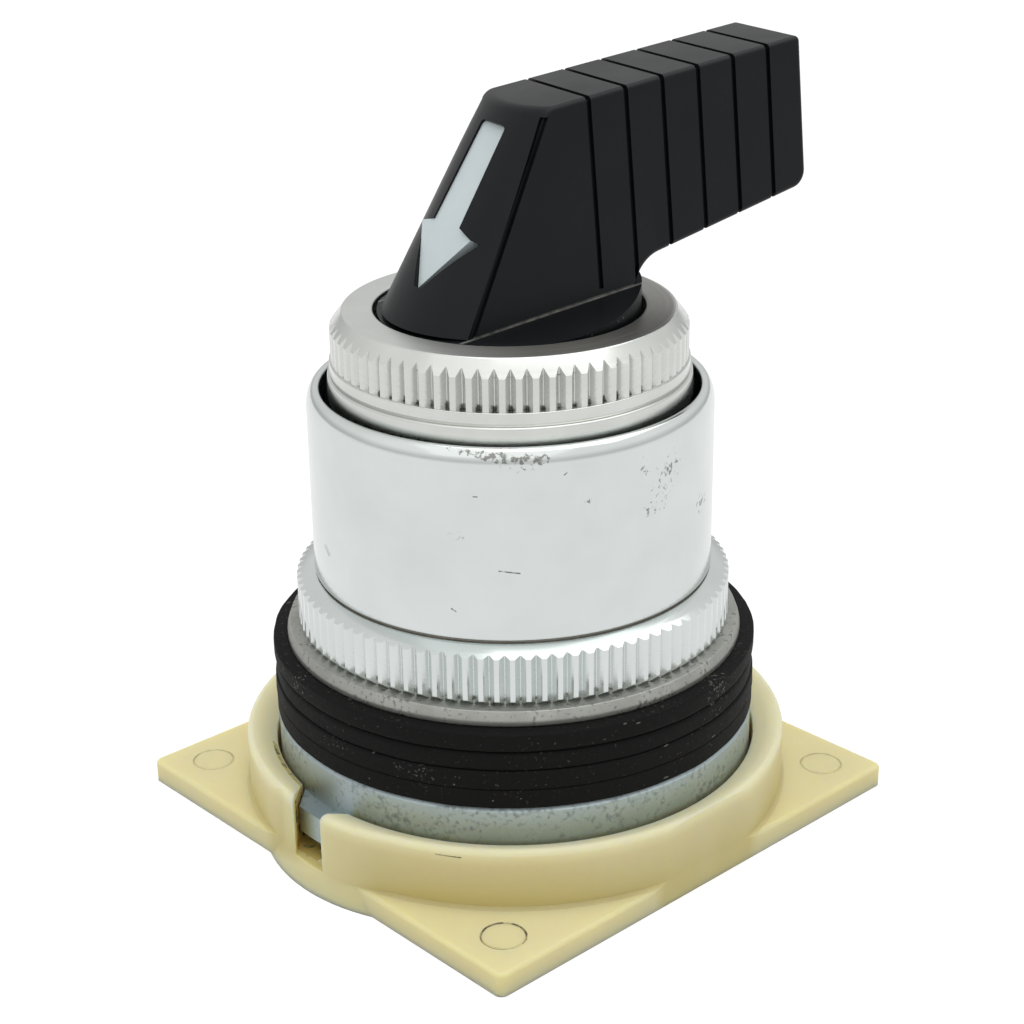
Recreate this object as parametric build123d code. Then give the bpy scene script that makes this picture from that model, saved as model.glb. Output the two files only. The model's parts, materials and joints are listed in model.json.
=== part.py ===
from build123d import *
import math
import os

# Panel-mount selector switch operator: a lever handle turns a slanted cam that works two plungers.
# Millimetres and degrees. +Z points out of the panel, the origin is the middle of the base's
# underside, the base is square to X and Y, and its key slot faces -Y.

# Nylon base
plate_side = 46.1
plate_thickness = 2.0
plate_corner_radius = 0.7
plate_edge_radius = 0.35
collar_wall = 2.55
collar_height = 5.2
collar_foot = 0.25
collar_rim_radius = 0.5
collar_rim_fall = 0.9
key_slot_left = 1.5
key_slot_right = 2.3
key_slot_flare = 41.5
lug_reach = 24.45
lug_radius = 17.0
lug_taper = 0.7
lug_middle = 1.0
ejector_mark_radius = 1.8
ejector_mark_width = 0.14
ejector_mark_depth = 0.12
ejector_mark_offset = 19.2

# Zinc body
flange_radius = 20.63
flange_height = 7.5
flange_edge = 0.4
collar_gap = 0.32
barrel_radius = 14.75
barrel_length = 27.6
neck_radius = 13.2
neck_height = 3.15
barrel_bore_radius = 11.8
lower_bore_radius = 13.0
lower_bore_depth = 12.0
web_thickness = 3.7
seal_pocket_radius = 9.5
seal_pocket_depth = 3.0
key_tab_reach = 1.8
key_tab_height = 2.3
key_tab_drop = 1.5
key_tab_gap = 0.25

# Gaskets, washer and nut
gasket_count = 4
gasket_overhang = 0.12
gasket_thickness = 1.65
gasket_edge = 0.15
panel_ring_gap = 0.2
washer_radius = 19.5
washer_thickness = 1.26
washer_edge = 0.35
nut_flange_radius = 18.44
nut_flange_height = 4.1
nut_foot_chamfer = 0.4
nut_shoulder_rise = 0.7
nut_serration_count = 92
nut_serration_depth = 0.42
nut_crest_share = 0.32
nut_thread_length = 4.8
nut_thread_gap = 0.06
guard_radius = 16.9
guard_wall = 1.15
guard_height = 16.1
guard_rim_radius = 0.9

serration_root_share = 0.06

# Bezel ring
lip_radius = 15.1
lip_height = 2.3
step_radius = 14.85
step_height = 1.12
bezel_radius = 14.72
bezel_serration_count = 72
bezel_serration_depth = 0.5
bezel_crest_share = 0.38
bezel_knurl_height = 2.7
bezel_bevel_height = 1.5
bezel_flat_radius = 13.66
bezel_opening_radius = 11.12
bezel_ledge = 2.16

# Lever handle, measured from the bezel's top face and from the axis, with the grip along +Y
handle_turn = -11.1
skirt_gap = 0.32
handle_flange_inset = 0.6
handle_play = 0.15
hub_radius = 8.0
shelf_height = 0.86
shelf_fall = 11.0
grip_rise = 6.7
grip_top_height = 16.45
grip_top_half_width = 4.67
side_draft = 7.3
grip_end = 25.9
grip_underside_height = 1.65
grip_underside_rise = 12.5
neck_clearance = 0.5
neck_fillet = 2.2
nose_radius = 9.0
nose_crest = 10.64
nose_lean = 32.0
nose_groove_width = 0.5
nose_groove_height = 15.9
nose_top_radius = 1.2
grip_end_radius = 1.5
grip_edge_radius = 0.45
groove_count = 6
groove_first = 4.68
groove_pitch = 3.54
groove_width = 0.42
groove_depth = 0.35
groove_foot = 2.0

# Arrow inlay on the sloping front
arrow_recess = 0.75
arrow_thickness = 0.8
arrow_tip_height = 2.53
arrow_length = 14.2
arrow_head_length = 5.06
arrow_head_half_width = 3.5
arrow_barb = 0.5
arrow_shaft_half_foot = 2.0
arrow_shaft_half_top = 1.76
arrow_shaft_round = 0.35
arrow_side_gap = 0.95

# Spindle, its pin, seal and clip
spindle_radius = 4.0
spindle_square = 5.5
spindle_journal_radius = 2.5
spindle_socket_depth = 5.5
running_gap = 0.05
press_gap = 0.02
handle_pin_radius = 1.0
handle_pin_inset = 0.3
seal_height = 2.2
clip_radius = 6.4
clip_thickness = 0.8
clip_groove_radius = 3.2
clip_gap = 0.2

# Index wheel and its leaf springs
index_notch_count = 8
index_tip_radius = 8.0
index_root_radius = 6.7
index_tip_round = 0.6
index_height = 5.0
index_gap = 0.6
leaf_thickness = 0.4
leaf_height = 4.0
leaf_half_length = 7.2
leaf_nose_half = 2.2
leaf_nose_gap = 0.15
leaf_wall_gap = 0.2
leaf_bow = 0.6

# Cam, plungers and their springs
cam_radius = 10.8
cam_height = 6.5
cam_slope = 14.0
plunger_offset = 8.0
plunger_head_radius = 2.6
plunger_stem_radius = 1.8
plunger_seat_radius = 3.5
plunger_seat_height = 1.0
plunger_seat_drop = 2.0
plunger_tip_height = 2.0
cam_gap = 0.15
guide_plate_thickness = 3.0
spring_wire_radius = 0.3
spring_mean_radius = 2.7
spring_turns = 4.5
spring_end_gap = 0.05

# Screws in the underside
screw_offset = 17.0
screw_radius = 1.5
screw_head_radius = 2.7
screw_head_height = 1.3
screw_head_inset = 0.2
screw_length = 7.0
screw_slot_width = 0.7
screw_slot_depth = 0.6
screw_gap = 0.1
contact_hole_radius = 1.75
contact_hole_depth = 7.0

# Heights worked out from the stack
flange_bottom = plate_thickness
flange_top = flange_bottom + flange_height
gasket_top = flange_top + gasket_count * gasket_thickness
washer_top = gasket_top + washer_thickness
nut_shoulder = washer_top + nut_flange_height
guard_foot = nut_shoulder + nut_shoulder_rise
guard_top = guard_foot + guard_height
barrel_shoulder = flange_top + barrel_length
neck_top = barrel_shoulder + neck_height
bezel_knurl_foot = barrel_shoulder + lip_height + step_height
bezel_knurl_top = bezel_knurl_foot + bezel_knurl_height
bezel_top = bezel_knurl_top + bezel_bevel_height
ledge_underside = bezel_top - bezel_ledge
seal_pocket_floor = neck_top - seal_pocket_depth
web_underside = seal_pocket_floor - web_thickness
lower_bore_top = flange_bottom + lower_bore_depth
clip_top = web_underside - clip_gap
clip_bottom = clip_top - clip_thickness
index_top = clip_bottom - index_gap
index_bottom = index_top - index_height
cam_top = index_bottom - index_gap
cam_middle = cam_top - cam_height
guide_plate_bottom = lower_bore_top - guide_plate_thickness
plunger_seat_top = guide_plate_bottom - plunger_seat_drop
plunger_seat_bottom = plunger_seat_top - plunger_seat_height

gasket_radius = flange_radius + gasket_overhang
collar_inner = flange_radius + collar_gap
collar_outer = collar_inner + collar_wall
collar_top = plate_thickness + collar_height
panel_ring_bore = barrel_radius + panel_ring_gap
guard_bore = guard_radius - guard_wall
skirt_radius = bezel_opening_radius - skirt_gap
lever_neck_radius = skirt_radius - neck_clearance
handle_flange_radius = neck_radius - handle_flange_inset
spindle_top = bezel_top + spindle_socket_depth

ON_FLOOR = (Align.CENTER, Align.CENTER, Align.MIN)
REACH = 4 * plate_side


def disc(radius, bottom, top):
    """Upright cylinder between two heights."""
    return Pos(0, 0, bottom) * Cylinder(radius, top - bottom, align=ON_FLOOR)


def ring(outer, inner, bottom, top):
    """Upright tube between two heights."""
    return disc(outer, bottom, top) - disc(inner, bottom, top)


def turned(*points):
    """Solid of revolution about Z from a closed outline of (radius, height) points."""
    return revolve(make_face(Plane.XZ * Polyline(*points, close=True)), Axis.Z)


def side_slab(*points):
    """Side view of (Y, Z) points, drawn out along X both ways."""
    return extrude(make_face(Plane.YZ * Polyline(*points, close=True)), amount=REACH, both=True)


def polar(radius, angle):
    """Point at a radius and an angle in degrees."""
    return (radius * math.cos(math.radians(angle)), radius * math.sin(math.radians(angle)))


def slope(angle):
    """Rise per unit of run at an angle in degrees."""
    return math.tan(math.radians(angle))


def serrated(crest, depth, teeth, crest_share, bottom, top):
    """Upright prism with V serrations and a narrow flat on each crest and root."""
    pitch = 360 / teeth
    half_crest = crest_share * pitch / 2
    half_root = serration_root_share * pitch / 2
    points = []
    for tooth in range(teeth):
        middle = tooth * pitch
        points.append(polar(crest, middle - half_crest))
        points.append(polar(crest, middle + half_crest))
        points.append(polar(crest - depth, middle + pitch / 2 - half_root))
        points.append(polar(crest - depth, middle + pitch / 2 + half_root))
    return Pos(0, 0, bottom) * extrude(make_face(Polyline(*points, close=True)), amount=top - bottom)


def on_both_sides(shape, offset):
    """Two copies of a shape at plus and minus an offset along X."""
    return [Pos(offset, 0, 0) * shape, Pos(-offset, 0, 0) * shape]


def key_outline(gap):
    """Plan of the key slot, straight on the right and flared inward on the left, less a gap."""
    left = gap - key_slot_left
    right = key_slot_right - gap
    flare = collar_wall * slope(key_slot_flare)
    outside = -collar_outer - collar_wall
    inside = -collar_outer + 2 * collar_wall
    corners = [(left + flare, outside), (right, outside), (right, inside), (left - 2 * flare, inside)]
    return make_face(Polyline(*corners, close=True))


def make_mounting_base():
    """Square nylon plate with a flat-sided collar, a key slot, a lug and ejector marks."""
    plate_outline = RectangleRounded(plate_side, plate_side, plate_corner_radius)
    plate = extrude(plate_outline, amount=plate_thickness)
    plate = fillet(plate.edges().group_by(Axis.Z)[-1], plate_edge_radius)
    foot_top = plate_thickness + collar_foot
    collar = disc(collar_outer, 0, collar_top)
    collar = fillet(collar.edges().group_by(Axis.Z)[-1], collar_rim_radius)
    collar += turned((0, 0), (collar_outer + foot_top, 0), (collar_outer, foot_top), (0, foot_top))
    collar &= extrude(plate_outline, amount=collar_top)
    lug = turned(
        (0, 0),
        (lug_radius, 0),
        (lug_radius - lug_taper, plate_thickness),
        (lug_radius - lug_taper, collar_top),
        (0, collar_top),
    )
    lug = fillet(lug.edges().group_by(Axis.Z)[-1], collar_rim_radius)
    base = plate + collar + Pos(lug_middle, lug_radius - lug_reach, 0) * lug
    base -= turned(
        (0, collar_top - collar_rim_fall),
        (collar_inner, collar_top - collar_rim_fall),
        (collar_outer - collar_rim_radius, collar_top),
        (0, collar_top),
    )
    base -= disc(collar_inner, plate_thickness, collar_top)
    base -= Pos(0, 0, plate_thickness) * extrude(key_outline(0), amount=collar_height)
    mark = ring(
        ejector_mark_radius,
        ejector_mark_radius - ejector_mark_width,
        plate_thickness - ejector_mark_depth,
        plate_thickness,
    )
    for location in GridLocations(2 * ejector_mark_offset, 2 * ejector_mark_offset, 2, 2):
        base -= location * mark
    for hole in on_both_sides(disc(plunger_stem_radius + running_gap, 0, plate_thickness), plunger_offset):
        base -= hole
    for hole in on_both_sides(disc(contact_hole_radius, 0, plate_thickness), screw_offset):
        base -= hole
    sink = disc(screw_head_radius + screw_gap, 0, screw_head_inset + screw_head_height)
    sink += disc(screw_radius + screw_gap, 0, plate_thickness)
    for hole in on_both_sides(sink, screw_offset):
        base -= Rot(0, 0, 90) * hole
    return base


def make_barrel_body():
    """Zinc casting: flange with a key tab, barrel, web with the spindle bore, and screw holes."""
    flange = disc(flange_radius, flange_bottom, flange_top)
    flange = chamfer(flange.edges().group_by(Axis.Z)[-1], flange_edge)
    body = flange + disc(barrel_radius, flange_bottom, barrel_shoulder)
    body += disc(neck_radius, barrel_shoulder, neck_top)
    tab_top = collar_top - key_tab_drop
    tab_round = disc(flange_radius + key_tab_reach, tab_top - key_tab_height, tab_top)
    body += tab_round & extrude(key_outline(key_tab_gap), amount=collar_top)
    body -= disc(lower_bore_radius, flange_bottom, lower_bore_top)
    body -= disc(barrel_bore_radius, lower_bore_top, web_underside)
    body -= disc(spindle_radius + running_gap, web_underside, seal_pocket_floor)
    body -= disc(seal_pocket_radius, seal_pocket_floor, neck_top)
    for hole in on_both_sides(disc(contact_hole_radius, flange_bottom, contact_hole_depth), screw_offset):
        body -= hole
    screw_hole = disc(screw_radius + press_gap, flange_bottom, screw_head_inset + screw_length + screw_gap)
    for hole in on_both_sides(screw_hole, screw_offset):
        body -= Rot(0, 0, 90) * hole
    return body


def make_gasket(number):
    """Flat rubber ring with slightly eased edges, counted from the flange up."""
    bottom = flange_top + (number - 1) * gasket_thickness
    gasket = disc(gasket_radius, bottom, bottom + gasket_thickness)
    gasket = chamfer(gasket.edges().filter_by(GeomType.CIRCLE), gasket_edge)
    return gasket - disc(panel_ring_bore, bottom, bottom + gasket_thickness)


def make_thrust_washer():
    """Flat steel washer with a rounded upper rim."""
    washer = ring(washer_radius, panel_ring_bore, gasket_top, washer_top)
    top_rim = washer.edges().group_by(Axis.Z)[-1].sort_by(SortBy.LENGTH)[-1]
    return fillet(top_rim, washer_edge)


def make_ring_nut():
    """Panel nut: serrated flange below, tall plain guard with a rounded rim above."""
    body = turned(
        (0, washer_top),
        (nut_flange_radius - nut_foot_chamfer, washer_top),
        (nut_flange_radius, washer_top + nut_foot_chamfer),
        (nut_flange_radius, nut_shoulder),
        (guard_radius, guard_foot),
        (0, guard_foot),
    )
    body &= serrated(
        nut_flange_radius, nut_serration_depth, nut_serration_count, nut_crest_share, washer_top, guard_foot
    )
    guard = disc(guard_radius, washer_top, guard_top)
    guard = fillet(guard.edges().group_by(Axis.Z)[-1], guard_rim_radius)
    body += guard
    body -= disc(barrel_radius + nut_thread_gap, washer_top, guard_top)
    return body - disc(guard_bore, washer_top + nut_thread_length, guard_top)


def make_bezel_ring():
    """Serrated ring that screws on the neck and keeps the handle's flange under its ledge."""
    band = turned(
        (0, bezel_knurl_foot),
        (bezel_radius, bezel_knurl_foot),
        (bezel_radius, bezel_knurl_top),
        (bezel_flat_radius, bezel_top),
        (0, bezel_top),
    )
    bezel = band & serrated(
        bezel_radius,
        bezel_serration_depth,
        bezel_serration_count,
        bezel_crest_share,
        bezel_knurl_foot,
        bezel_top,
    )
    bezel += disc(step_radius, barrel_shoulder, bezel_knurl_foot)
    bezel += disc(lip_radius, barrel_shoulder, barrel_shoulder + lip_height)
    bezel -= disc(neck_radius + press_gap, barrel_shoulder, ledge_underside)
    return bezel - disc(bezel_opening_radius, ledge_underside, bezel_top)


def lever_blank(inset):
    """Grip, neck and pointed front with drafted sides, shrunk all round by an inset."""
    top = bezel_top + grip_top_height - inset
    underside = bezel_top + grip_underside_height + inset
    end = grip_end - inset
    grip = side_slab(
        (-grip_end, underside - grip_end * slope(grip_underside_rise)),
        (end, underside + end * slope(grip_underside_rise)),
        (end, top + end * slope(grip_rise)),
        (-grip_end, top - grip_end * slope(grip_rise)),
    )
    blank = grip + disc(lever_neck_radius - inset, bezel_top - grip_top_height, (underside + top) / 2)
    blank = fillet(blank.edges().filter_by(GeomType.ELLIPSE), neck_fillet)
    wedge_height = 1.5 * grip_top_height
    half_foot = grip_top_half_width - inset + grip_top_height * slope(side_draft)
    half_top = half_foot - wedge_height * slope(side_draft)
    wedge_outline = Polyline(
        (-half_foot, bezel_top),
        (half_foot, bezel_top),
        (half_top, bezel_top + wedge_height),
        (-half_top, bezel_top + wedge_height),
        close=True,
    )
    blank &= extrude(make_face(Plane.XZ * wedge_outline), amount=REACH, both=True)
    nose = Circle(nose_radius) + Pos(0, REACH / 2) * Rectangle(2 * nose_radius, REACH)
    nose = Pos(0, nose_radius - nose_crest + inset, bezel_top) * nose
    lean = Vector(0, slope(nose_lean), 1)
    return blank & extrude(nose, amount=2 * grip_top_height * lean.length, dir=lean)


def nose_edge(height):
    """Distance along the grip, at a height over the bezel, of the edge between front and side."""
    half = grip_top_half_width + (grip_top_height - height) * slope(side_draft)
    crest = height * slope(nose_lean) - nose_crest
    return crest + nose_radius - math.sqrt(nose_radius**2 - half**2)


def arrow_plane():
    """Plane of the arrow's face, with its origin at the tip and Y up the slope."""
    lean = math.radians(nose_lean)
    crest_at_tip = -nose_crest + arrow_tip_height * math.tan(lean)
    origin = (0, crest_at_tip + arrow_recess / math.cos(lean), bezel_top + arrow_tip_height)
    return Plane(origin, x_dir=(1, 0, 0), z_dir=(0, -math.cos(lean), math.sin(lean)))


def arrow_face():
    """Outline of the arrow, tip at the origin, with the shaft's end corners rounded."""
    right = [
        (arrow_head_half_width, arrow_head_length),
        (arrow_shaft_half_foot, arrow_head_length + arrow_barb),
        (arrow_shaft_half_top, arrow_length),
    ]
    left = [(-across, along) for across, along in reversed(right)]
    face = make_face(Polyline((0, 0), *right, *left, close=True))
    return fillet(face.vertices().sort_by(Axis.Y)[-2:], arrow_shaft_round)


def arrow_pocket_face():
    """Outline of the arrow's pocket, which stands open beside the right edge of the head."""
    beside = Polyline(
        (0, 0),
        (arrow_side_gap, 0),
        (arrow_head_half_width + arrow_side_gap, arrow_head_length),
        (arrow_head_half_width, arrow_head_length),
        close=True,
    )
    return arrow_face() + make_face(beside)


def make_lever_handle():
    """Moulded handle: grip with cross grooves, arrow pocket, skirt, flange and hub."""
    handle = lever_blank(0)
    end_face = handle.faces().sort_by(Axis.Y)[-1]
    handle = fillet(end_face.edges().sort_by(Axis.Z)[0], grip_end_radius)
    top_face = handle.faces().filter_by(GeomType.PLANE).sort_by(Axis.Z)[-1]
    handle = fillet(top_face.edges().sort_by(Axis.Y)[0], nose_top_radius)
    top_face = handle.faces().filter_by(GeomType.PLANE).sort_by(Axis.Z)[-1]
    end_uprights = handle.faces().sort_by(Axis.Y)[-1].edges().sort_by(Axis.Z)[1:-1]
    handle = fillet(top_face.edges().sort_by(Axis.Y)[1:] + end_uprights, grip_edge_radius)
    core = lever_blank(groove_depth)
    slab = Box(4 * grip_top_half_width, groove_width, REACH, align=ON_FLOOR)
    for number in range(groove_count):
        place = groove_first + number * groove_pitch
        handle -= Pos(0, place, bezel_top + groove_foot) * slab - core
    half_groove = nose_groove_width / 2
    nose_slab = side_slab(
        (nose_edge(0) - half_groove, bezel_top),
        (nose_edge(0) + half_groove, bezel_top),
        (nose_edge(nose_groove_height) + half_groove, bezel_top + nose_groove_height),
        (nose_edge(nose_groove_height) - half_groove, bezel_top + nose_groove_height),
    )
    handle -= nose_slab - core
    shelf_half = grip_top_half_width + grip_top_height * slope(side_draft)
    shelf_front = bezel_top + shelf_height - grip_end * slope(grip_rise)
    shelf_side = shelf_front - (skirt_radius - shelf_half) * slope(shelf_fall)
    skirt_outline = Polyline(
        (-skirt_radius, bezel_top - grip_end),
        (skirt_radius, bezel_top - grip_end),
        (skirt_radius, shelf_side),
        (shelf_half, shelf_front),
        (-shelf_half, shelf_front),
        (-skirt_radius, shelf_side),
        close=True,
    )
    along_shelf = Vector(0, 1, slope(grip_rise))
    roof = Pos(0, -grip_end, 0) * make_face(Plane.XZ * skirt_outline)
    skirt = disc(skirt_radius, neck_top + handle_play, bezel_top + grip_top_height)
    skirt &= extrude(roof, amount=2 * grip_end * along_shelf.length, dir=along_shelf)
    handle += skirt
    handle += disc(handle_flange_radius, neck_top + handle_play, ledge_underside - handle_play)
    handle += disc(hub_radius, seal_pocket_floor + handle_play, neck_top + handle_play)
    handle -= disc(spindle_radius + press_gap, seal_pocket_floor, spindle_top + press_gap)
    handle -= extrude(arrow_plane() * arrow_pocket_face(), amount=arrow_thickness, both=True)
    return Rot(0, 0, handle_turn) * handle - handle_pin(handle_pin_radius + press_gap, hub_radius)


def handle_pin(radius, half_length):
    """Cross pin along X, halfway up the hub."""
    height = (seal_pocket_floor + neck_top) / 2
    return Pos(0, 0, height) * Rot(0, 90, 0) * Cylinder(radius, 2 * half_length)


def make_arrow_inlay():
    """Pale arrow that fills the pocket in the handle's front."""
    face = arrow_plane() * arrow_face()
    return Rot(0, 0, handle_turn) * extrude(face, amount=-arrow_thickness)


def make_spindle():
    """Steel spindle: round above, square for wheel and cam, journal at the foot."""
    square = Box(spindle_square, spindle_square, clip_bottom - cam_middle, align=ON_FLOOR)
    spindle = disc(spindle_radius, clip_bottom, spindle_top) + Pos(0, 0, cam_middle) * square
    spindle += disc(spindle_journal_radius, guide_plate_bottom, cam_middle)
    spindle -= ring(spindle_radius, clip_groove_radius, clip_bottom, clip_top)
    return spindle - handle_pin(handle_pin_radius + press_gap, hub_radius)


def make_spindle_clip():
    """Open retaining clip in the spindle's groove."""
    clip = ring(clip_radius, clip_groove_radius + press_gap, clip_bottom, clip_top)
    mouth = Box(clip_radius, 2 * clip_groove_radius, clip_thickness, align=ON_FLOOR)
    return clip - Pos(clip_radius / 2, 0, clip_bottom) * mouth


def square_hole(bottom, top):
    """Square hole that fits the spindle."""
    side = spindle_square + 2 * press_gap
    return Pos(0, 0, bottom) * Box(side, side, top - bottom, align=ON_FLOOR)


def make_index_wheel():
    """Star wheel with a notch at every position."""
    step = 360 / index_notch_count
    points = []
    for notch in range(index_notch_count):
        points.append(polar(index_root_radius, notch * step))
        points.append(polar(index_tip_radius, (notch + 0.5) * step))
    wheel = Pos(0, 0, index_bottom) * extrude(make_face(Polyline(*points, close=True)), amount=index_height)
    middle = (index_root_radius + index_tip_radius) / 2
    uprights = wheel.edges().filter_by(Axis.Z)
    tips = uprights.filter_by(lambda edge: math.hypot(edge.center().X, edge.center().Y) > middle)
    return fillet(tips, index_tip_round) - square_hole(index_bottom, index_top)


def make_detent_spring(side):
    """Leaf spring with a nose in the star wheel's notch, on the +X or -X side."""
    end_reach = math.sqrt(barrel_bore_radius**2 - leaf_half_length**2) - leaf_wall_gap - leaf_thickness
    nose_reach = index_root_radius + leaf_nose_gap
    points = [
        (end_reach, -leaf_half_length),
        (end_reach - leaf_bow, -leaf_nose_half),
        (nose_reach, 0),
        (end_reach - leaf_bow, leaf_nose_half),
        (end_reach, leaf_half_length),
    ]
    back = [(across + leaf_thickness, along) for across, along in reversed(points)]
    leaf = extrude(make_face(Polyline(*points, *back, close=True)), amount=leaf_height)
    turn = 0 if side > 0 else 180
    return Rot(0, 0, turn) * Pos(0, 0, index_bottom + (index_height - leaf_height) / 2) * leaf


def make_cam():
    """Round cam whose slanted underside lifts one plunger and presses the other."""
    cam = disc(cam_radius, cam_middle - cam_radius, cam_top)
    rise = cam_radius * slope(cam_slope)
    cam &= side_slab(
        (-cam_radius, cam_middle - rise),
        (cam_radius, cam_middle + rise),
        (cam_radius, cam_top),
        (-cam_radius, cam_top),
    )
    return cam - square_hole(cam_middle - cam_radius, cam_top)


def make_guide_plate():
    """Plate in the body's lower bore with the spindle's foot bearing and two plunger guides."""
    plate = disc(lower_bore_radius - press_gap, guide_plate_bottom, lower_bore_top)
    plate -= disc(spindle_journal_radius + running_gap, guide_plate_bottom, lower_bore_top)
    guide = disc(plunger_head_radius + running_gap, guide_plate_bottom, lower_bore_top)
    for hole in on_both_sides(guide, plunger_offset):
        plate -= hole
    return plate


def make_plunger(side):
    """Push rod with a domed head under the cam, a spring seat and a stem through the base."""
    head_centre = cam_middle - (plunger_head_radius + cam_gap) / math.cos(math.radians(cam_slope))
    plunger = disc(plunger_head_radius, plunger_seat_top, head_centre)
    plunger += Pos(0, 0, head_centre) * Sphere(plunger_head_radius)
    plunger += disc(plunger_seat_radius, plunger_seat_bottom, plunger_seat_top)
    plunger += disc(plunger_stem_radius, plunger_tip_height, plunger_seat_bottom)
    return Pos(side * plunger_offset, 0, 0) * plunger


def make_plunger_spring(side):
    """Coil spring between the base and the plunger's seat."""
    bottom = plate_thickness + spring_end_gap + spring_wire_radius
    height = plunger_seat_bottom - spring_end_gap - spring_wire_radius - bottom
    path = Helix(height / spring_turns, height, spring_mean_radius)
    wire = Plane(path @ 0, z_dir=path % 0) * Circle(spring_wire_radius)
    return Pos(side * plunger_offset, 0, bottom) * sweep(wire, path=path, is_frenet=True)


def make_base_screws():
    """Two cheese-head screws up through the base into the body."""
    screw = disc(screw_head_radius, screw_head_inset, screw_head_inset + screw_head_height)
    screw += disc(screw_radius, screw_head_inset, screw_head_inset + screw_length)
    slot = Box(2 * screw_head_radius, screw_slot_width, screw_slot_depth, align=ON_FLOOR)
    screw -= Pos(0, 0, screw_head_inset) * slot
    front, back = on_both_sides(screw, screw_offset)
    return Rot(0, 0, 90) * (front + back)


def make_handle_seal():
    """Rubber ring between the handle's hub and the neck of the body."""
    bottom = seal_pocket_floor + handle_play
    return ring(seal_pocket_radius - press_gap, hub_radius + running_gap, bottom, bottom + seal_height)


parts = {
    "mounting_base": make_mounting_base(),
    "barrel_body": make_barrel_body(),
    "thrust_washer": make_thrust_washer(),
    "ring_nut": make_ring_nut(),
    "bezel_ring": make_bezel_ring(),
    "lever_handle": make_lever_handle(),
    "arrow_inlay": make_arrow_inlay(),
    "spindle": make_spindle(),
    "handle_pin": handle_pin(handle_pin_radius, hub_radius - handle_pin_inset),
    "handle_seal": make_handle_seal(),
    "spindle_clip": make_spindle_clip(),
    "index_wheel": make_index_wheel(),
    "detent_spring_left": make_detent_spring(-1),
    "detent_spring_right": make_detent_spring(1),
    "cam": make_cam(),
    "guide_plate": make_guide_plate(),
    "plunger_left": make_plunger(-1),
    "plunger_right": make_plunger(1),
    "plunger_spring_left": make_plunger_spring(-1),
    "plunger_spring_right": make_plunger_spring(1),
    "base_screws": make_base_screws(),
}
for number in range(1, gasket_count + 1):
    parts[f"gasket_{number}"] = make_gasket(number)

os.makedirs("parts", exist_ok=True)
for name, shape in parts.items():
    export_step(shape, f"parts/{name}.step")
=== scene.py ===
# %% [markdown]
# # Looks of a panel-mount selector switch
# The solids of the switch are already built and packed. They come in here as a fixed frame, in
# metres, with +Z out of the panel. This lesson dresses them: rings that need a finer outline are
# turned again with Geometry Nodes, moulded and cast pieces are smoothed copies of their solids,
# and every surface gets a procedural finish.

# %% Load the frame
import json
import math

import bmesh
import bpy
from mathutils import Matrix, Vector

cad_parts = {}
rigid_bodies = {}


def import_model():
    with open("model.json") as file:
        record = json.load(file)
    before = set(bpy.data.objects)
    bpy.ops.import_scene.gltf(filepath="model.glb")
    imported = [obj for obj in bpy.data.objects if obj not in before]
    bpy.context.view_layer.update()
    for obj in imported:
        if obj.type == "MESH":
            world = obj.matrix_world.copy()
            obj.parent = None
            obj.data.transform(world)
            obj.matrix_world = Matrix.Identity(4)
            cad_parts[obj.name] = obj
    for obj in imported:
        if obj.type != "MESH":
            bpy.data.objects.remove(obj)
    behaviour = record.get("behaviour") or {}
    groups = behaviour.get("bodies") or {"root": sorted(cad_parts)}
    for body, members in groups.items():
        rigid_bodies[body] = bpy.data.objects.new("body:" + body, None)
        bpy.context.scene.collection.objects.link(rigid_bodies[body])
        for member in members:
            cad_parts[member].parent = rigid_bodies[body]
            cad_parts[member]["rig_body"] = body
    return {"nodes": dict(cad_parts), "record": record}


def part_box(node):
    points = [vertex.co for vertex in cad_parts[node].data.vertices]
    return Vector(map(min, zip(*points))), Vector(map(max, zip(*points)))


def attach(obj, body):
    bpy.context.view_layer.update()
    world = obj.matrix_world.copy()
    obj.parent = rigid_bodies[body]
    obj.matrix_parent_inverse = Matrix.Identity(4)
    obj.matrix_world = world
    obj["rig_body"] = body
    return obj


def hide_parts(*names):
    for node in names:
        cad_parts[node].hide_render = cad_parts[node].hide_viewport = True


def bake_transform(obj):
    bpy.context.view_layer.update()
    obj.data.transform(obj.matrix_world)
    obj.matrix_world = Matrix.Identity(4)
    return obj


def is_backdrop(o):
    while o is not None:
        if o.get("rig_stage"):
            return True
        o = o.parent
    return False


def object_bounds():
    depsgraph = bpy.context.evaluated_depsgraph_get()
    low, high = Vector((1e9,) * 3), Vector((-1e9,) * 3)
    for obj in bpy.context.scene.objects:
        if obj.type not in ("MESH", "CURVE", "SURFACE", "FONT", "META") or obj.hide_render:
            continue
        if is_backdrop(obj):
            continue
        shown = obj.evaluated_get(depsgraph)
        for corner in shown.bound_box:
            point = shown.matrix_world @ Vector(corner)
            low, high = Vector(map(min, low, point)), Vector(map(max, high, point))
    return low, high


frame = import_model()
cad_low, cad_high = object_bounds()
solids = frame["nodes"]
scene = bpy.context.scene
scene.view_settings.view_transform = "Standard"
MM = 0.001
print("solids in the frame:", len(solids), "height in mm:", round((cad_high.z - cad_low.z) / MM, 2))

# %% [markdown]
# ## Three small helpers
# Colours are read off as sRGB hex codes, but Blender's shaders work in linear light, so one
# function converts them. Node trees get long when every node takes five lines, so a second
# function adds a node, sets its properties, and fills or links its inputs in one call. The third
# gives a texture the scale that makes its features a chosen size.


# %% Colour and node helpers
def srgb(code):
    """Linear RGBA of an sRGB hex code."""
    parts = [int(code[at : at + 2], 16) / 255 for at in (0, 2, 4)]
    return [p / 12.92 if p <= 0.04045 else ((p + 0.055) / 1.055) ** 2.4 for p in parts] + [1.0]


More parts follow.
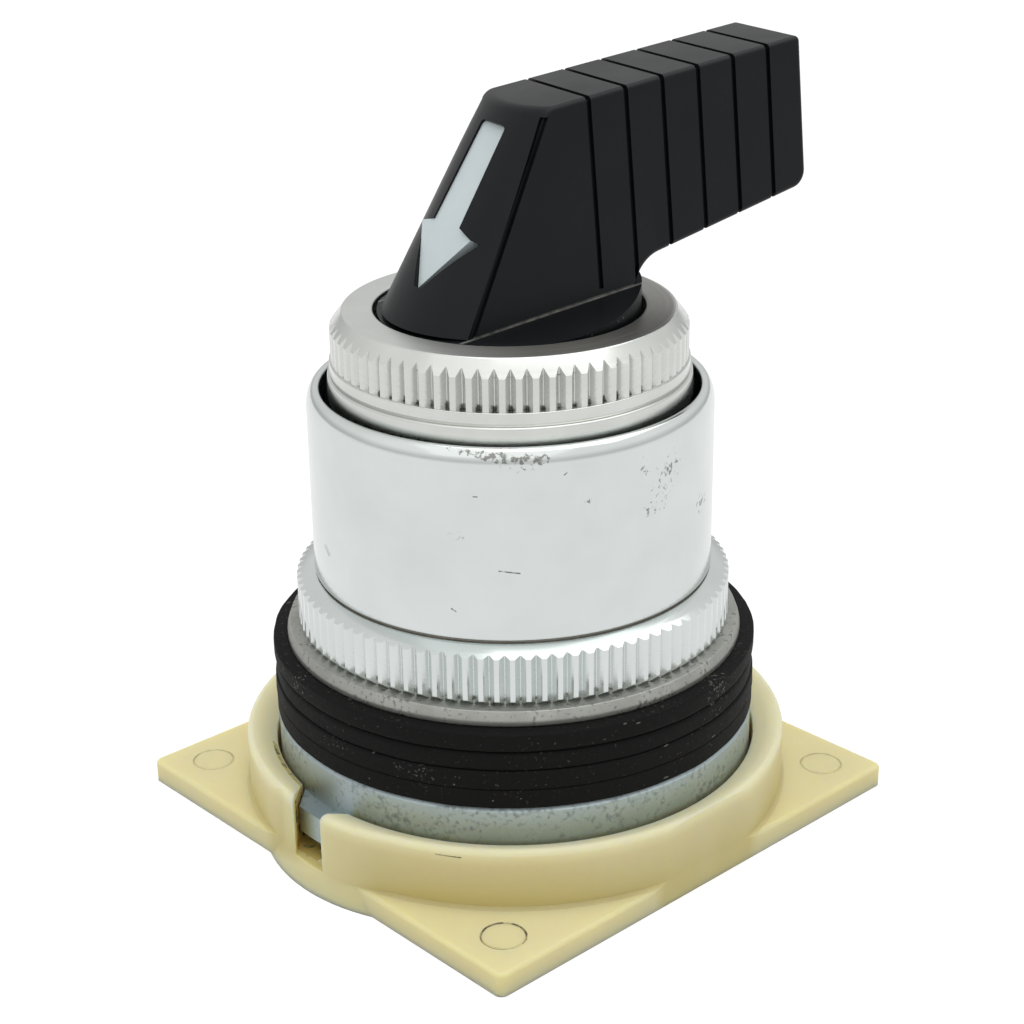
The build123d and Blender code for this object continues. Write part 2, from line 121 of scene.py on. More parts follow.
def add(tree, kind, inputs=None, **settings):
    """Adds a node with its settings, gives each input a value or a link, and returns its outputs."""
    made = tree.nodes.new(kind)
    for name, value in settings.items():
        setattr(made, name, value)
    for key, value in (inputs or {}).items():
        if isinstance(value, bpy.types.NodeSocket):
            tree.links.new(value, made.inputs[key])
        else:
            made.inputs[key].default_value = value
    return made.outputs


def per_mm(size):
    """Texture scale that makes a feature of a size in millimetres, on coordinates in metres."""
    return 1 / (size * MM)


print("white is", srgb("FFFFFF"))

# %% [markdown]
# ## Camera
# The photograph was taken from a little above, with a longish lens. The place below comes from
# fitting a pinhole camera to the round rims. The axes of the camera are worked out from three
# angles: where it stands around the switch, how far it tilts down, and a small roll.

# %% Camera
camera_reach = 164.2 * MM
camera_height = 95.35 * MM
camera_bearing = math.radians(-42.63)
camera_tilt = math.radians(22.84)
camera_roll = math.radians(-0.82)
focal_pixels = 2098
image_pixels = 1024

camera_data = bpy.data.cameras.new("photo_camera")
camera_data.lens = camera_data.sensor_width * focal_pixels / image_pixels
camera_data.clip_start = 10 * MM
camera = bpy.data.objects.new("photo_camera", camera_data)
scene.collection.objects.link(camera)
outward = Vector((math.cos(camera_bearing), math.sin(camera_bearing), 0))
rightward = Vector((-outward.y, outward.x, 0))
back = outward * math.cos(camera_tilt) + Vector((0, 0, math.sin(camera_tilt)))
upward = back.cross(rightward)
turn = Matrix((rightward, upward, back)).transposed().to_4x4()
place = Matrix.Translation(outward * camera_reach + Vector((0, 0, camera_height)))
camera.matrix_world = place @ turn @ Matrix.Rotation(camera_roll, 4, "Z")
scene.camera = camera
print("lens in mm:", round(camera_data.lens, 2))

# %% [markdown]
# ## Floor
# The product stands on white paper in a light tent. The paper is a large pale floor. To the
# camera most of it is a plain glow that ends up white, and the rest is an ordinary matt surface,
# so it still catches a soft shadow. In reflections it counts as white paper.


# %% Floor
def ray_kinds(tree):
    """Sockets that are 1 for a ray from the camera, and 1 for one that is mirrored or refracted."""
    path = add(tree, "ShaderNodeLightPath")
    bounced = {0: path["Is Glossy Ray"], 1: path["Is Transmission Ray"]}
    return path["Is Camera Ray"], add(tree, "ShaderNodeMath", bounced, operation="MAXIMUM")[0]


floor_radius = 2.0
glow_share = 0.6
glow_strength = 1.29

floor_mesh = bpy.data.meshes.new("paper_floor")
outline = bmesh.new()
bmesh.ops.create_circle(outline, cap_ends=True, segments=96, radius=floor_radius)
outline.to_mesh(floor_mesh)
outline.free()
floor = bpy.data.objects.new("paper_floor", floor_mesh)
scene.collection.objects.link(floor)
floor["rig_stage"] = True

paper = bpy.data.materials.new("white_paper")
paper.use_nodes = True
tree = paper.node_tree
tree.nodes.clear()
seen, mirrored = ray_kinds(tree)
looked_at = add(tree, "ShaderNodeMath", {0: seen, 1: glow_share}, operation="MULTIPLY")[0]
share = add(tree, "ShaderNodeMath", {0: mirrored, 1: looked_at}, operation="MAXIMUM")[0]
strength = add(tree, "ShaderNodeMapRange", {"Value": mirrored, "To Min": glow_strength, "To Max": 1.0})[0]
matt = add(tree, "ShaderNodeBsdfDiffuse", {"Color": srgb("DEDEDE")})[0]
white = add(tree, "ShaderNodeEmission", {"Color": srgb("FFFFFF"), "Strength": strength})[0]
mixed = add(tree, "ShaderNodeMixShader", {0: share, 1: matt, 2: white})[0]
add(tree, "ShaderNodeOutputMaterial", {"Surface": mixed})
floor_mesh.materials.append(paper)
print("floor radius in m:", floor_radius)

# %% [markdown]
# ## Light tent
# The tent is white cloth all round, lit from above. To the camera it is plain white. In reflections
# it is a little greyer at the back on the left, and just above the table, which draws the grey line
# under the rolled edge of the guard. The light that it gives grows from the horizon to the top, so
# that upright walls come out darker than what lies flat. Two softboxes outside the tent give the
# bevels their bright edges. A third only fills the left side, so it is kept out of reflections.

# %% World
horizon_light = 0.29
top_light = 0.87
left_gloss = 0.78
low_gloss = 0.6
tent_right = (0.8, -0.6, 0)
grey_side = (-0.8, 0.1)
grey_height = 0.3

world = bpy.data.worlds.new("light_tent")
scene.world = world
world.use_nodes = True
tree = world.node_tree
tree.nodes.clear()
seen, mirrored = ray_kinds(tree)
way = add(tree, "ShaderNodeTexCoord")["Generated"]
height = add(tree, "ShaderNodeSeparateXYZ", {0: way})["Z"]
given_light = add(
    tree, "ShaderNodeMapRange", {"Value": height, "To Min": horizon_light, "To Max": top_light}
)[0]
rightness = add(tree, "ShaderNodeVectorMath", {0: way, 1: tent_right}, operation="DOT_PRODUCT")["Value"]
gloss = add(
    tree,
    "ShaderNodeMapRange",
    {"Value": rightness, "From Min": grey_side[0], "From Max": grey_side[1], "To Min": left_gloss},
)[0]
low = add(tree, "ShaderNodeMapRange", {"Value": height, "From Max": grey_height, "To Min": low_gloss})[0]
shaded = add(tree, "ShaderNodeMath", {0: gloss, 1: low}, operation="MULTIPLY")[0]
unseen = add(tree, "ShaderNodeMix", {0: mirrored, 2: given_light, 3: shaded})[0]
level = add(tree, "ShaderNodeMix", {0: seen, 2: unseen, 3: 1.0})[0]
cloth = add(tree, "ShaderNodeBackground", {"Color": srgb("FFFFFF"), "Strength": level})[0]
add(tree, "ShaderNodeOutputWorld", {"Surface": cloth})
print("tent light from", horizon_light, "to", top_light)

# %% Lamps
lamp_distance = 0.6


def softbox(name, azimuth, elevation, side, watts):
    """Square area lamp aimed at the middle of the switch, with its bearing seen from above."""
    lamp = bpy.data.lights.new(name, "AREA")
    lamp.size = side
    lamp.energy = watts
    obj = bpy.data.objects.new(name, lamp)
    scene.collection.objects.link(obj)
    around, above = math.radians(azimuth), math.radians(elevation)
    level = math.cos(above)
    way = Vector((math.cos(around) * level, math.sin(around) * level, math.sin(above)))
    obj.location = (cad_low + cad_high) / 2 + way * lamp_distance
    obj.rotation_mode = "QUATERNION"
    obj.rotation_quaternion = way.to_track_quat("Z", "Y")


softbox("softbox_front", azimuth=-54, elevation=52, side=0.8, watts=0.5)
softbox("softbox_top", azimuth=60, elevation=75, side=0.65, watts=1.6)
softbox("softbox_left", azimuth=-150, elevation=35, side=0.5, watts=0.6)
bpy.data.objects["softbox_left"].visible_glossy = False
print("lamps:", len(bpy.data.lights))

# %% [markdown]
# ## A lathe in Geometry Nodes
# Bezel, ring nut, washer and gaskets are all turned about the same axis, and two of them carry
# V serrations. Modelling each tooth would be slow to change. Here a node tree works as a lathe.
# It repeats a half outline around Z on a grid with twelve columns to a tooth, placed so that
# columns run along the edges of crest and root. Then it cuts the serrations by one rule: no point
# of the toothed band may lie outside the V wave. The depth of the cut is stored as an attribute,
# and so is the soil and painted shade that the outline carries, so that the finish can put dirt at
# the feet of the grooves, and a painted dark line of shade in the groove at the guard's foot. A
# small wobble makes die-cut rubber uneven.

# %% Lathe tree: inputs
columns_per_tooth = 12
hair = 0.001 * MM
lathe = bpy.data.node_groups.new("lathe_with_serrations", "GeometryNodeTree")
lathe.interface.new_socket("Outline", in_out="INPUT", socket_type="NodeSocketGeometry")
lathe.interface.new_socket("Teeth", in_out="INPUT", socket_type="NodeSocketInt")
for name in ("Crest Radius", "Groove Depth", "Crest Share", "Root Share", "Wobble"):
    lathe.interface.new_socket(name, in_out="INPUT", socket_type="NodeSocketFloat")
lathe.interface.new_socket("Material", in_out="INPUT", socket_type="NodeSocketMaterial")
lathe.interface.new_socket("Ring", in_out="OUTPUT", socket_type="NodeSocketGeometry")
given = add(lathe, "NodeGroupInput")
print("lathe inputs:", len(given) - 1)

# %% Lathe tree: grid and outline
rows = add(lathe, "GeometryNodeAttributeDomainSize", {"Geometry": given["Outline"]})["Point Count"]
last = add(lathe, "ShaderNodeMath", {0: given["Teeth"], 1: columns_per_tooth}, operation="MULTIPLY")[0]
columns = add(lathe, "ShaderNodeMath", {0: last, 1: 1}, operation="ADD")[0]
grid = add(lathe, "GeometryNodeMeshGrid", {"Vertices X": columns, "Vertices Y": rows})["Mesh"]
index = add(lathe, "GeometryNodeInputIndex")[0]
ratio = add(lathe, "ShaderNodeMath", {0: index, 1: rows}, operation="DIVIDE")[0]
column = add(lathe, "ShaderNodeMath", {0: ratio}, operation="FLOOR")[0]
row = add(lathe, "ShaderNodeMath", {0: index, 1: rows}, operation="MODULO")[0]
where = add(lathe, "GeometryNodeInputPosition")[0]
sampled = add(
    lathe,
    "GeometryNodeSampleIndex",
    {"Geometry": given["Outline"], "Value": where, "Index": row},
    data_type="FLOAT_VECTOR",
)[0]
point = add(lathe, "ShaderNodeSeparateXYZ", {0: sampled})
carried = add(lathe, "GeometryNodeInputNamedAttribute", {"Name": "soil_and_shade"}, data_type="FLOAT")[0]
soil_and_shade = add(
    lathe,
    "GeometryNodeSampleIndex",
    {"Geometry": given["Outline"], "Value": carried, "Index": row},
    data_type="FLOAT",
)[0]
print("lathe nodes so far:", len(lathe.nodes))

# %% Lathe tree: where each column stands
half_columns = columns_per_tooth // 2
tooth_ratio = add(lathe, "ShaderNodeMath", {0: column, 1: columns_per_tooth}, operation="DIVIDE")[0]
tooth = add(lathe, "ShaderNodeMath", {0: tooth_ratio}, operation="FLOOR")[0]
step = add(lathe, "ShaderNodeMath", {0: column, 1: columns_per_tooth}, operation="MODULO")[0]
half_step = add(lathe, "ShaderNodeMath", {0: step, 1: half_columns}, operation="PINGPONG")[0]
half_crest = add(lathe, "ShaderNodeMath", {0: given["Crest Share"], 1: 0.5}, operation="MULTIPLY")[0]
half_root = add(lathe, "ShaderNodeMath", {0: given["Root Share"], 1: 0.5}, operation="MULTIPLY")[0]
past_crest = add(lathe, "ShaderNodeMath", {0: 0.5, 1: half_crest}, operation="SUBTRACT")[0]
flank = add(lathe, "ShaderNodeMath", {0: past_crest, 1: half_root}, operation="SUBTRACT")[0]
on_crest = add(lathe, "ShaderNodeMapRange", {"Value": half_step, "To Max": half_crest})[0]
on_flank = add(
    lathe,
    "ShaderNodeMapRange",
    {"Value": half_step, "From Min": 1, "From Max": half_columns - 1, "To Max": flank},
)[0]
on_root = add(
    lathe,
    "ShaderNodeMapRange",
    {"Value": half_step, "From Min": half_columns - 1, "From Max": half_columns, "To Max": half_root},
)[0]
crest_and_flank = add(lathe, "ShaderNodeMath", {0: on_crest, 1: on_flank}, operation="ADD")[0]
across = add(lathe, "ShaderNodeMath", {0: crest_and_flank, 1: on_root}, operation="ADD")[0]
second_half = add(lathe, "ShaderNodeMath", {0: step, 1: half_columns}, operation="GREATER_THAN")[0]
mirrored_across = add(lathe, "ShaderNodeMath", {0: 1.0, 1: across}, operation="SUBTRACT")[0]
position = add(lathe, "ShaderNodeMix", {0: second_half, 2: across, 3: mirrored_across})[0]
teeth_passed = add(lathe, "ShaderNodeMath", {0: tooth, 1: position}, operation="ADD")[0]
turns = add(lathe, "ShaderNodeMath", {0: teeth_passed, 1: given["Teeth"]}, operation="DIVIDE")[0]
angle = add(lathe, "ShaderNodeMath", {0: turns, 1: math.tau}, operation="MULTIPLY")[0]
print("lathe nodes so far:", len(lathe.nodes))

# %% Lathe tree: cut, wobble and result
depth = add(
    lathe,
    "ShaderNodeMapRange",
    {"Value": half_step, "From Min": 1, "From Max": half_columns - 1, "To Max": given["Groove Depth"]},
)[0]
limit = add(lathe, "ShaderNodeMath", {0: given["Crest Radius"], 1: depth}, operation="SUBTRACT")[0]
inside = add(lathe, "ShaderNodeMath", {0: point["X"], 1: limit}, operation="MINIMUM")[0]
past_limit = add(lathe, "ShaderNodeMath", {0: point["X"], 1: inside}, operation="SUBTRACT")[0]
band_edge = add(lathe, "ShaderNodeMath", {0: given["Crest Radius"], 1: hair}, operation="ADD")[0]
in_band = add(lathe, "ShaderNodeMath", {0: point["X"], 1: band_edge}, operation="LESS_THAN")[0]
cut = add(lathe, "ShaderNodeMath", {0: past_limit, 1: in_band}, operation="MULTIPLY")[0]
toothed = add(lathe, "ShaderNodeMath", {0: point["X"], 1: cut}, operation="SUBTRACT")[0]
even = add(lathe, "ShaderNodeCombineXYZ", {"X": toothed, "Z": point["Z"]})[0]
probe = add(lathe, "ShaderNodeVectorRotate", {"Vector": even, "Angle": angle}, rotation_type="Z_AXIS")[0]
waves = add(lathe, "ShaderNodeTexNoise", {"Vector": probe, "Scale": per_mm(4), "Detail": 2.0})[0]
centred = add(lathe, "ShaderNodeMath", {0: waves, 1: 0.5}, operation="SUBTRACT")[0]
radius = add(
    lathe, "ShaderNodeMath", {0: centred, 1: given["Wobble"], 2: toothed}, operation="MULTIPLY_ADD"
)[0]
flat = add(lathe, "ShaderNodeCombineXYZ", {"X": radius, "Z": point["Z"]})[0]
placed = add(lathe, "ShaderNodeVectorRotate", {"Vector": flat, "Angle": angle}, rotation_type="Z_AXIS")[0]
deepness = add(lathe, "ShaderNodeMath", {0: cut, 1: given["Groove Depth"]}, operation="DIVIDE")[0]
ring = grid
for name, value in (("groove", deepness), ("soil_and_shade", soil_and_shade)):
    ring = add(
        lathe,
        "GeometryNodeStoreNamedAttribute",
        {"Geometry": ring, "Name": name, "Value": value},
        data_type="FLOAT",
        domain="POINT",
    )[0]
bent = add(lathe, "GeometryNodeSetPosition", {"Geometry": ring, "Position": placed})[0]
closed = add(lathe, "GeometryNodeMergeByDistance", {"Geometry": bent, "Distance": hair})[0]
real = add(lathe, "GeometryNodeRealizeInstances", {"Geometry": closed})[0]
coated = add(lathe, "GeometryNodeSetMaterial", {"Geometry": real, "Material": given["Material"]})[0]
add(lathe, "NodeGroupOutput", {"Ring": coated})
print("lathe tree nodes:", len(lathe.nodes))


# %% Eased outlines and shading
def eased(corners, steps=6):
    """Points (place, soil) in metres from (radius, height, corner size, soil) in mm, corners rounded."""
    points = []
    for before, corner, after in zip(corners[-1:] + corners[:-1], corners, corners[1:] + corners[:1]):
        tip, size = Vector(corner[:2]), corner[2]
        soil_and_shade = corner[3] if len(corner) > 3 else 0.0
        if not size:
            points.append((tip * MM, soil_and_shade))
            continue
        start = tip + (Vector(before[:2]) - tip).normalized() * size
        end = tip + (Vector(after[:2]) - tip).normalized() * size
        for step in range(steps + 1):
            t = step / steps
            points.append(((start * (1 - t) ** 2 + tip * 2 * t * (1 - t) + end * t**2) * MM, soil_and_shade))
    return points


def shade(mesh, degrees):
    """Merges doubles, turns all faces outwards and shades smooth up to an angle."""
    work = bmesh.new()
    work.from_mesh(mesh)
    bmesh.ops.remove_doubles(work, verts=work.verts, dist=hair)
    bmesh.ops.triangulate(work, faces=work.faces, quad_method="LONG_EDGE")
    bmesh.ops.recalc_face_normals(work, faces=work.faces)
    work.to_mesh(mesh)
    work.free()
    if "custom_normal" in mesh.attributes:
        mesh.attributes.remove(mesh.attributes["custom_normal"])
    mesh.shade_smooth()
    mesh.set_sharp_from_angle(angle=math.radians(degrees))


print("points on an eased corner:", len(eased([(0, 0, 0), (1, 0, 0.1), (1, 1, 0)])) - 2)

# %% Turned pieces
ring_smooth = 35
plain_ring = {
    "Teeth": 24,
    "Crest Radius": 0.0,
    "Groove Depth": 1.0,
    "Crest Share": 1 / 6,
    "Root Share": 1 / 6,
    "Wobble": 0.0,
}


def turned_piece(name, corners, material, sizes):
    """Plain mesh of a turned ring from its half outline in mm and the sizes of its serrations."""
    points = eased(corners)
    points.append(points[0])
    profile = bpy.data.meshes.new(name)
    edges = [(at, at + 1) for at in range(len(points) - 1)]
    profile.from_pydata([(place.x, 0, place.y) for place, soil_and_shade in points], edges, [])
    carried = profile.attributes.new("soil_and_shade", "FLOAT", "POINT").data
    carried.foreach_set("value", [soil_and_shade for place, soil_and_shade in points])
    piece = bpy.data.objects.new(name, profile)
    scene.collection.objects.link(piece)
    modifier = piece.modifiers.new("lathe", "NODES")
    modifier.node_group = lathe
    values = {"Material": material, **sizes}
    for socket in lathe.interface.items_tree:
        if socket.name in values:
            modifier[socket.identifier] = values[socket.name]
    graph = bpy.context.evaluated_depsgraph_get()
    mesh = bpy.data.meshes.new_from_object(piece.evaluated_get(graph))
    piece.modifiers.clear()
    piece.data = mesh
    mesh.name = name
    shade(mesh, ring_smooth)
    return piece


print("lathe ready, columns on a plain ring:", plain_ring["Teeth"] * columns_per_tooth)

# %% Copies and stand-ins
copy_smooth = 30


def smooth_copy(name, node, material):
    """Copy of a solid's mesh, merged and smoothed, with its own finish."""
    mesh = solids[node].data.copy()
    mesh.name = name
    mesh.materials.clear()
    mesh.materials.append(material)
    shade(mesh, copy_smooth)
    piece = bpy.data.objects.new(name, mesh)
    scene.collection.objects.link(piece)
    return piece


def stand_for(piece, node):
    """The piece takes the place of a solid: it joins the solid's body, and the solid is hidden."""
    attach(piece, solids[node]["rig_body"])
    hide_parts(node)
    print(piece.name, "faces:", len(piece.data.polygons))


# %% [markdown]
# ## Finishes
# Each finish starts from the real material and the way its surface was made, and its patterns
# are scaled in millimetres. This switch has been used, so most finishes carry small marks. Two
# patterns serve for them: a stroke, which is a short line between two points, and a patch, which
# thins out from a middle point. Both only say where a mark may be, and a noise breaks it up.


# %% Start and end of a finish
def new_finish(name):
    """Material with an empty tree and its object coordinates."""
    material = bpy.data.materials.new(name)
    material.use_nodes = True
    material.node_tree.nodes.clear()
    here = add(material.node_tree, "ShaderNodeTexCoord")["Object"]
    return material, material.node_tree, here


def end_finish(material, looks):
    """Puts a Principled shader with these looks on the surface."""
    tree = material.node_tree
    shader = add(tree, "ShaderNodeBsdfPrincipled", looks)[0]
    add(tree, "ShaderNodeOutputMaterial", {"Surface": shader})
    print("finish:", material.name, "nodes:", len(tree.nodes))


print("materials so far:", len(bpy.data.materials))

# %% Strokes and patches
stroke_core = 0.4


def strokes(tree, here, lines):
    """Socket that is 1 on short lines, each given by two points and a half width in mm."""
    found = None
    for start, end, half_width in lines:
        first, along = Vector(start) * MM, (Vector(end) - Vector(start)) * MM
        off = add(tree, "ShaderNodeVectorMath", {0: here, 1: first}, operation="SUBTRACT")[0]
        dot = add(tree, "ShaderNodeVectorMath", {0: off, 1: along}, operation="DOT_PRODUCT")["Value"]
        part = add(tree, "ShaderNodeMapRange", {"Value": dot, "From Max": along.length_squared})[0]
        reached = add(tree, "ShaderNodeVectorMath", {0: along, "Scale": part}, operation="SCALE")[0]
        gap = add(tree, "ShaderNodeVectorMath", {0: off, 1: reached}, operation="DISTANCE")["Value"]
        mark = add(
            tree,
            "ShaderNodeMapRange",
            {"Value": gap, "From Min": half_width * MM, "From Max": stroke_core * half_width * MM},
        )[0]
        if found:
            mark = add(tree, "ShaderNodeMath", {0: found, 1: mark}, operation="MAXIMUM")[0]
        found = mark
    return found


def patches(tree, here, spots):
    """Socket that falls from 1 to 0 around points, each given in mm with its reach."""
    found = None
    for middle, reach in spots:
        gap = add(
            tree, "ShaderNodeVectorMath", {0: here, 1: Vector(middle) * MM}, operation="DISTANCE"
        )["Value"]
        near = add(
            tree,
            "ShaderNodeMapRange",
            {"Value": gap, "From Max": reach * MM, "To Min": 1.0, "To Max": 0.0},
        )[0]
        if found:
            near = add(tree, "ShaderNodeMath", {0: found, 1: near}, operation="MAXIMUM")[0]
        found = near
    return found


print("marks can be drawn, with a core of", stroke_core)

# %% [markdown]
# ### Bright plating on turned metal
# Bezel and ring nut are bright plated. In a light tent such a surface is close to white, with
# soft edges to its reflections. The cutting tool leaves fine rings, which spread the reflections
# across them. The face of the bezel is satin, and its right half, as the camera sees it, is painted
# a darker grey: painted shade for the darker reflection there. Flecks of the plating have come off
# in places, close together where something rubbed along the guard's rim and the bezel's lip, and
# dark dirt sits at the feet of the grooves. The same dark colour paints a line of shade all round
# in the groove at the foot of the guard.

# %% Plating: worn places
fleck_starts, fleck_full, wear_weight = 0.83, 0.9, 0.36


def worn_places(tree, here, spots, smears, lines):
    """Socket that is 1 on flecks at spots and smears, and on scratched lines."""
    chips = add(
        tree, "ShaderNodeTexNoise", {"Vector": here, "Scale": per_mm(0.48), "Detail": 6.0, "Roughness": 0.68}
    )[0]
    thin, thick = patches(tree, here, spots), strokes(tree, here, smears)
    worn = add(tree, "ShaderNodeMath", {0: thin, 1: thick}, operation="MAXIMUM")[0]
    chip_sum = add(tree, "ShaderNodeMath", {0: worn, 1: wear_weight, 2: chips}, operation="MULTIPLY_ADD")[0]
    chipped = add(
        tree,
        "ShaderNodeMapRange",
        {"Value": chip_sum, "From Min": fleck_starts, "From Max": fleck_full, "To Max": 0.8},
    )[0]
    line = strokes(tree, here, lines)
    broken = add(tree, "ShaderNodeMapRange", {"Value": chips, "From Min": 0.4, "From Max": 0.5})[0]
    scratched = add(tree, "ShaderNodeMath", {0: line, 1: broken}, operation="MULTIPLY")[0]
    return add(tree, "ShaderNodeMath", {0: chipped, 1: scratched}, operation="MAXIMUM")[0]


print("flecks show where the noise passes", fleck_starts, "and wear adds up to", wear_weight)

# %% Plating: the finish
dirt_starts, dirt_full, held_on_crest = 1.3, 1.5, 0.35
face_right, shade_from, shade_full, face_step = (0.68, 0.74, 0), -9, 2, 0.02
rough_face, rough_groove, rough_dirt = 0.13, 0.12, 0.35


def plated_metal(
    name, metal, grime_and_shade, smoothest, roughest, ring_depth, brushed, satin_height, spots, smears, lines
):
    """Turned plating, satin above a height with painted shade on its right, worn at spots, smears, lines
    (mm).
    """
    material, tree, here = new_finish(name)
    height = add(tree, "ShaderNodeSeparateXYZ", {0: here})["Z"]
    flat = add(tree, "ShaderNodeVectorMath", {0: here, 1: (1, 1, 0)}, operation="MULTIPLY")[0]
    radius = add(tree, "ShaderNodeVectorMath", {0: flat}, operation="LENGTH")["Value"]
    outward = add(tree, "ShaderNodeMath", {0: radius, 1: height}, operation="SUBTRACT")[0]
    rings = add(
        tree,
        "ShaderNodeTexNoise",
        {"W": outward, "Scale": per_mm(0.35), "Detail": 3.0},
        noise_dimensions="1D",
    )[0]

    groove = add(tree, "ShaderNodeAttribute", attribute_name="groove")["Fac"]
    soil_and_shade = add(tree, "ShaderNodeAttribute", attribute_name="soil_and_shade")["Fac"]
    specks = add(tree, "ShaderNodeTexNoise", {"Vector": here, "Scale": per_mm(0.4), "Detail": 4.0})[0]
    held = add(tree, "ShaderNodeMapRange", {"Value": groove, "To Min": held_on_crest})[0]
    # Soil at the feet of the grooves is dirt; in the groove at the guard's foot it is so high that this
    # paints a dark line of shade.
    dirt = add(tree, "ShaderNodeMath", {0: soil_and_shade, 1: held, 2: specks}, operation="MULTIPLY_ADD")[0]
    dirt_and_shade = add(
        tree,
        "ShaderNodeMapRange",
        {"Value": dirt, "From Min": dirt_starts, "From Max": dirt_full, "To Max": 0.85},
    )[0]

    marked = worn_places(tree, here, spots, smears, lines)
    cloud = add(tree, "ShaderNodeTexNoise", {"Vector": here, "Scale": per_mm(6), "Detail": 3.0})[0]
    tint = add(tree, "ShaderNodeMapRange", {"Value": cloud, "From Min": 0.3, "From Max": 0.7})[0]
    colour = add(
        tree, "ShaderNodeMix", {0: tint, 6: srgb(metal[0]), 7: srgb(metal[1])}, data_type="RGBA"
    )[2]
    satin = add(
        tree,
        "ShaderNodeMapRange",
        {"Value": height, "From Min": (satin_height - face_step) * MM, "From Max": satin_height * MM},
    )[0]
    across = add(tree, "ShaderNodeVectorMath", {0: here, 1: face_right}, operation="DOT_PRODUCT")["Value"]
    shaded_side = add(
        tree, "ShaderNodeMapRange", {"Value": across, "From Min": shade_from * MM, "From Max": shade_full * MM}
    )[0]
    # Painted shade: the face's right half, as the camera sees it, is coloured a darker grey (A09F9A).
    painted_face_shade = add(tree, "ShaderNodeMath", {0: satin, 1: shaded_side}, operation="MULTIPLY")[0]
    for part, hue in ((painted_face_shade, "A09F9A"), (marked, "6C6B64"), (dirt_and_shade, grime_and_shade)):
        colour = add(tree, "ShaderNodeMix", {0: part, 6: colour, 7: srgb(hue)}, data_type="RGBA")[2]
    roughness = add(
        tree,
        "ShaderNodeMapRange",
        {"Value": rings, "From Min": 0.3, "From Max": 0.7, "To Min": smoothest, "To Max": roughest},
    )[0]
    for part, rougher in ((satin, rough_face), (groove, rough_groove), (dirt_and_shade, rough_dirt)):
        roughness = add(
            tree, "ShaderNodeMath", {0: part, 1: rougher, 2: roughness}, operation="MULTIPLY_ADD"
        )[0]
    bump = add(tree, "ShaderNodeBump", {"Height": rings, "Distance": ring_depth * MM})[0]
    round_axis = add(tree, "ShaderNodeTangent", direction_type="RADIAL", axis="Z")[0]
    end_finish(
        material,
        {
            "Base Color": colour,
            "Metallic": 1.0,
            "Roughness": roughness,
            "Normal": bump,
            "Anisotropic": brushed,
            "Anisotropic Rotation": 0.25,
            "Tangent": round_axis,
        },
    )
    return material


print("dirt shows where soil and specks add up to more than", dirt_starts)

# %% Guard plating
no_satin, smear_half = cad_high.z / MM, 0.85
rim_smear = [
    (8.2, -14.75, 38.45),
    (10.14, -13.45, 38.1),
    (11.31, -12.5, 37.75),
    (12.6, -11.2, 37.5),
    (14.0, -9.4, 37.45),
]
guard_plating = plated_metal(
    "bright_zinc_plating",
    ("D2D7D5", "D9DEDD"),
    grime_and_shade="6B6458",
    smoothest=0.13,
    roughest=0.2,
    ring_depth=0.001,
    brushed=0.0,
    satin_height=no_satin,
    spots=[
        ((16.85, 1.29, 34.46), 4.2),
        ((16.89, 0.40, 32.70), 3.3),
        ((16.88, -0.91, 31.38), 2.0),
        ((15.55, 6.61, 29.94), 3.4),
        ((16.82, -1.63, 35.22), 1.9),
        ((15.60, -6.50, 33.60), 1.7),
        ((9.30, -14.10, 31.00), 1.6),
        ((10.14, -13.52, 38.30), 1.6),
        ((11.31, -12.56, 37.95), 2.2),
        ((12.12, -11.77, 37.72), 2.8),
        ((13.12, -10.65, 37.52), 2.6),
        ((14.03, -9.43, 37.44), 1.9),
    ],
    smears=[(start, end, smear_half) for start, end in zip(rim_smear, rim_smear[1:])],
    lines=[
        ((-5.2, -16.08, 26.45), (-4.3, -16.34, 25.85), 0.07),
        ((-4.9, -16.17, 26.65), (-4.1, -16.40, 26.05), 0.05),
        ((11.7, -12.20, 28.35), (12.8, -11.04, 28.15), 0.08),
        ((8.65, -14.52, 24.9), (8.95, -14.34, 24.7), 0.08),
        ((10.25, -13.44, 34.5), (10.5, -13.24, 34.5), 0.06),
        ((14.8, -8.16, 36.1), (14.9, -7.97, 36.25), 0.07),
    ],
)

# %% Bezel plating
bezel_low, bezel_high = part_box("bezel_ring")
lip_dirt_height, lip_dirt_half, face_drop = 0.5, 0.7, 0.12
dirt_from, dirt_to, dirt_step = -115, -50, 12
lip_dirt = []
for turn in range(dirt_from, dirt_to, dirt_step):
    around = math.radians(turn)
    outward = Vector((math.cos(around), math.sin(around), 0)) * bezel_high.x / MM
    lip_dirt.append(outward + Vector((0, 0, bezel_low.z / MM + lip_dirt_height)))
bezel_plating = plated_metal(
    "turned_bright_plating",
    ("CDCFCB", "D8DAD6"),
    grime_and_shade="4F4B43",
    smoothest=0.2,
    roughest=0.28,
    ring_depth=0.002,
    brushed=0.5,
    satin_height=bezel_high.z / MM - face_drop,
    spots=[((4.2, -13.8, 44.6), 0.9), ((-9.0, -11.6, 43.0), 1.6)],
    smears=[(start, end, lip_dirt_half) for start, end in zip(lip_dirt, lip_dirt[1:])],
    lines=[((0.9, -14.20, 44.35), (1.5, -13.75, 44.72), 0.06)],
)

# %% [markdown]
# ### Dull plated steel
# The washer has a greyer, flatter zinc coat than the nut, and so have the screws and the spindle.
# It is stained, and fine specks of rust and dirt show all over it.

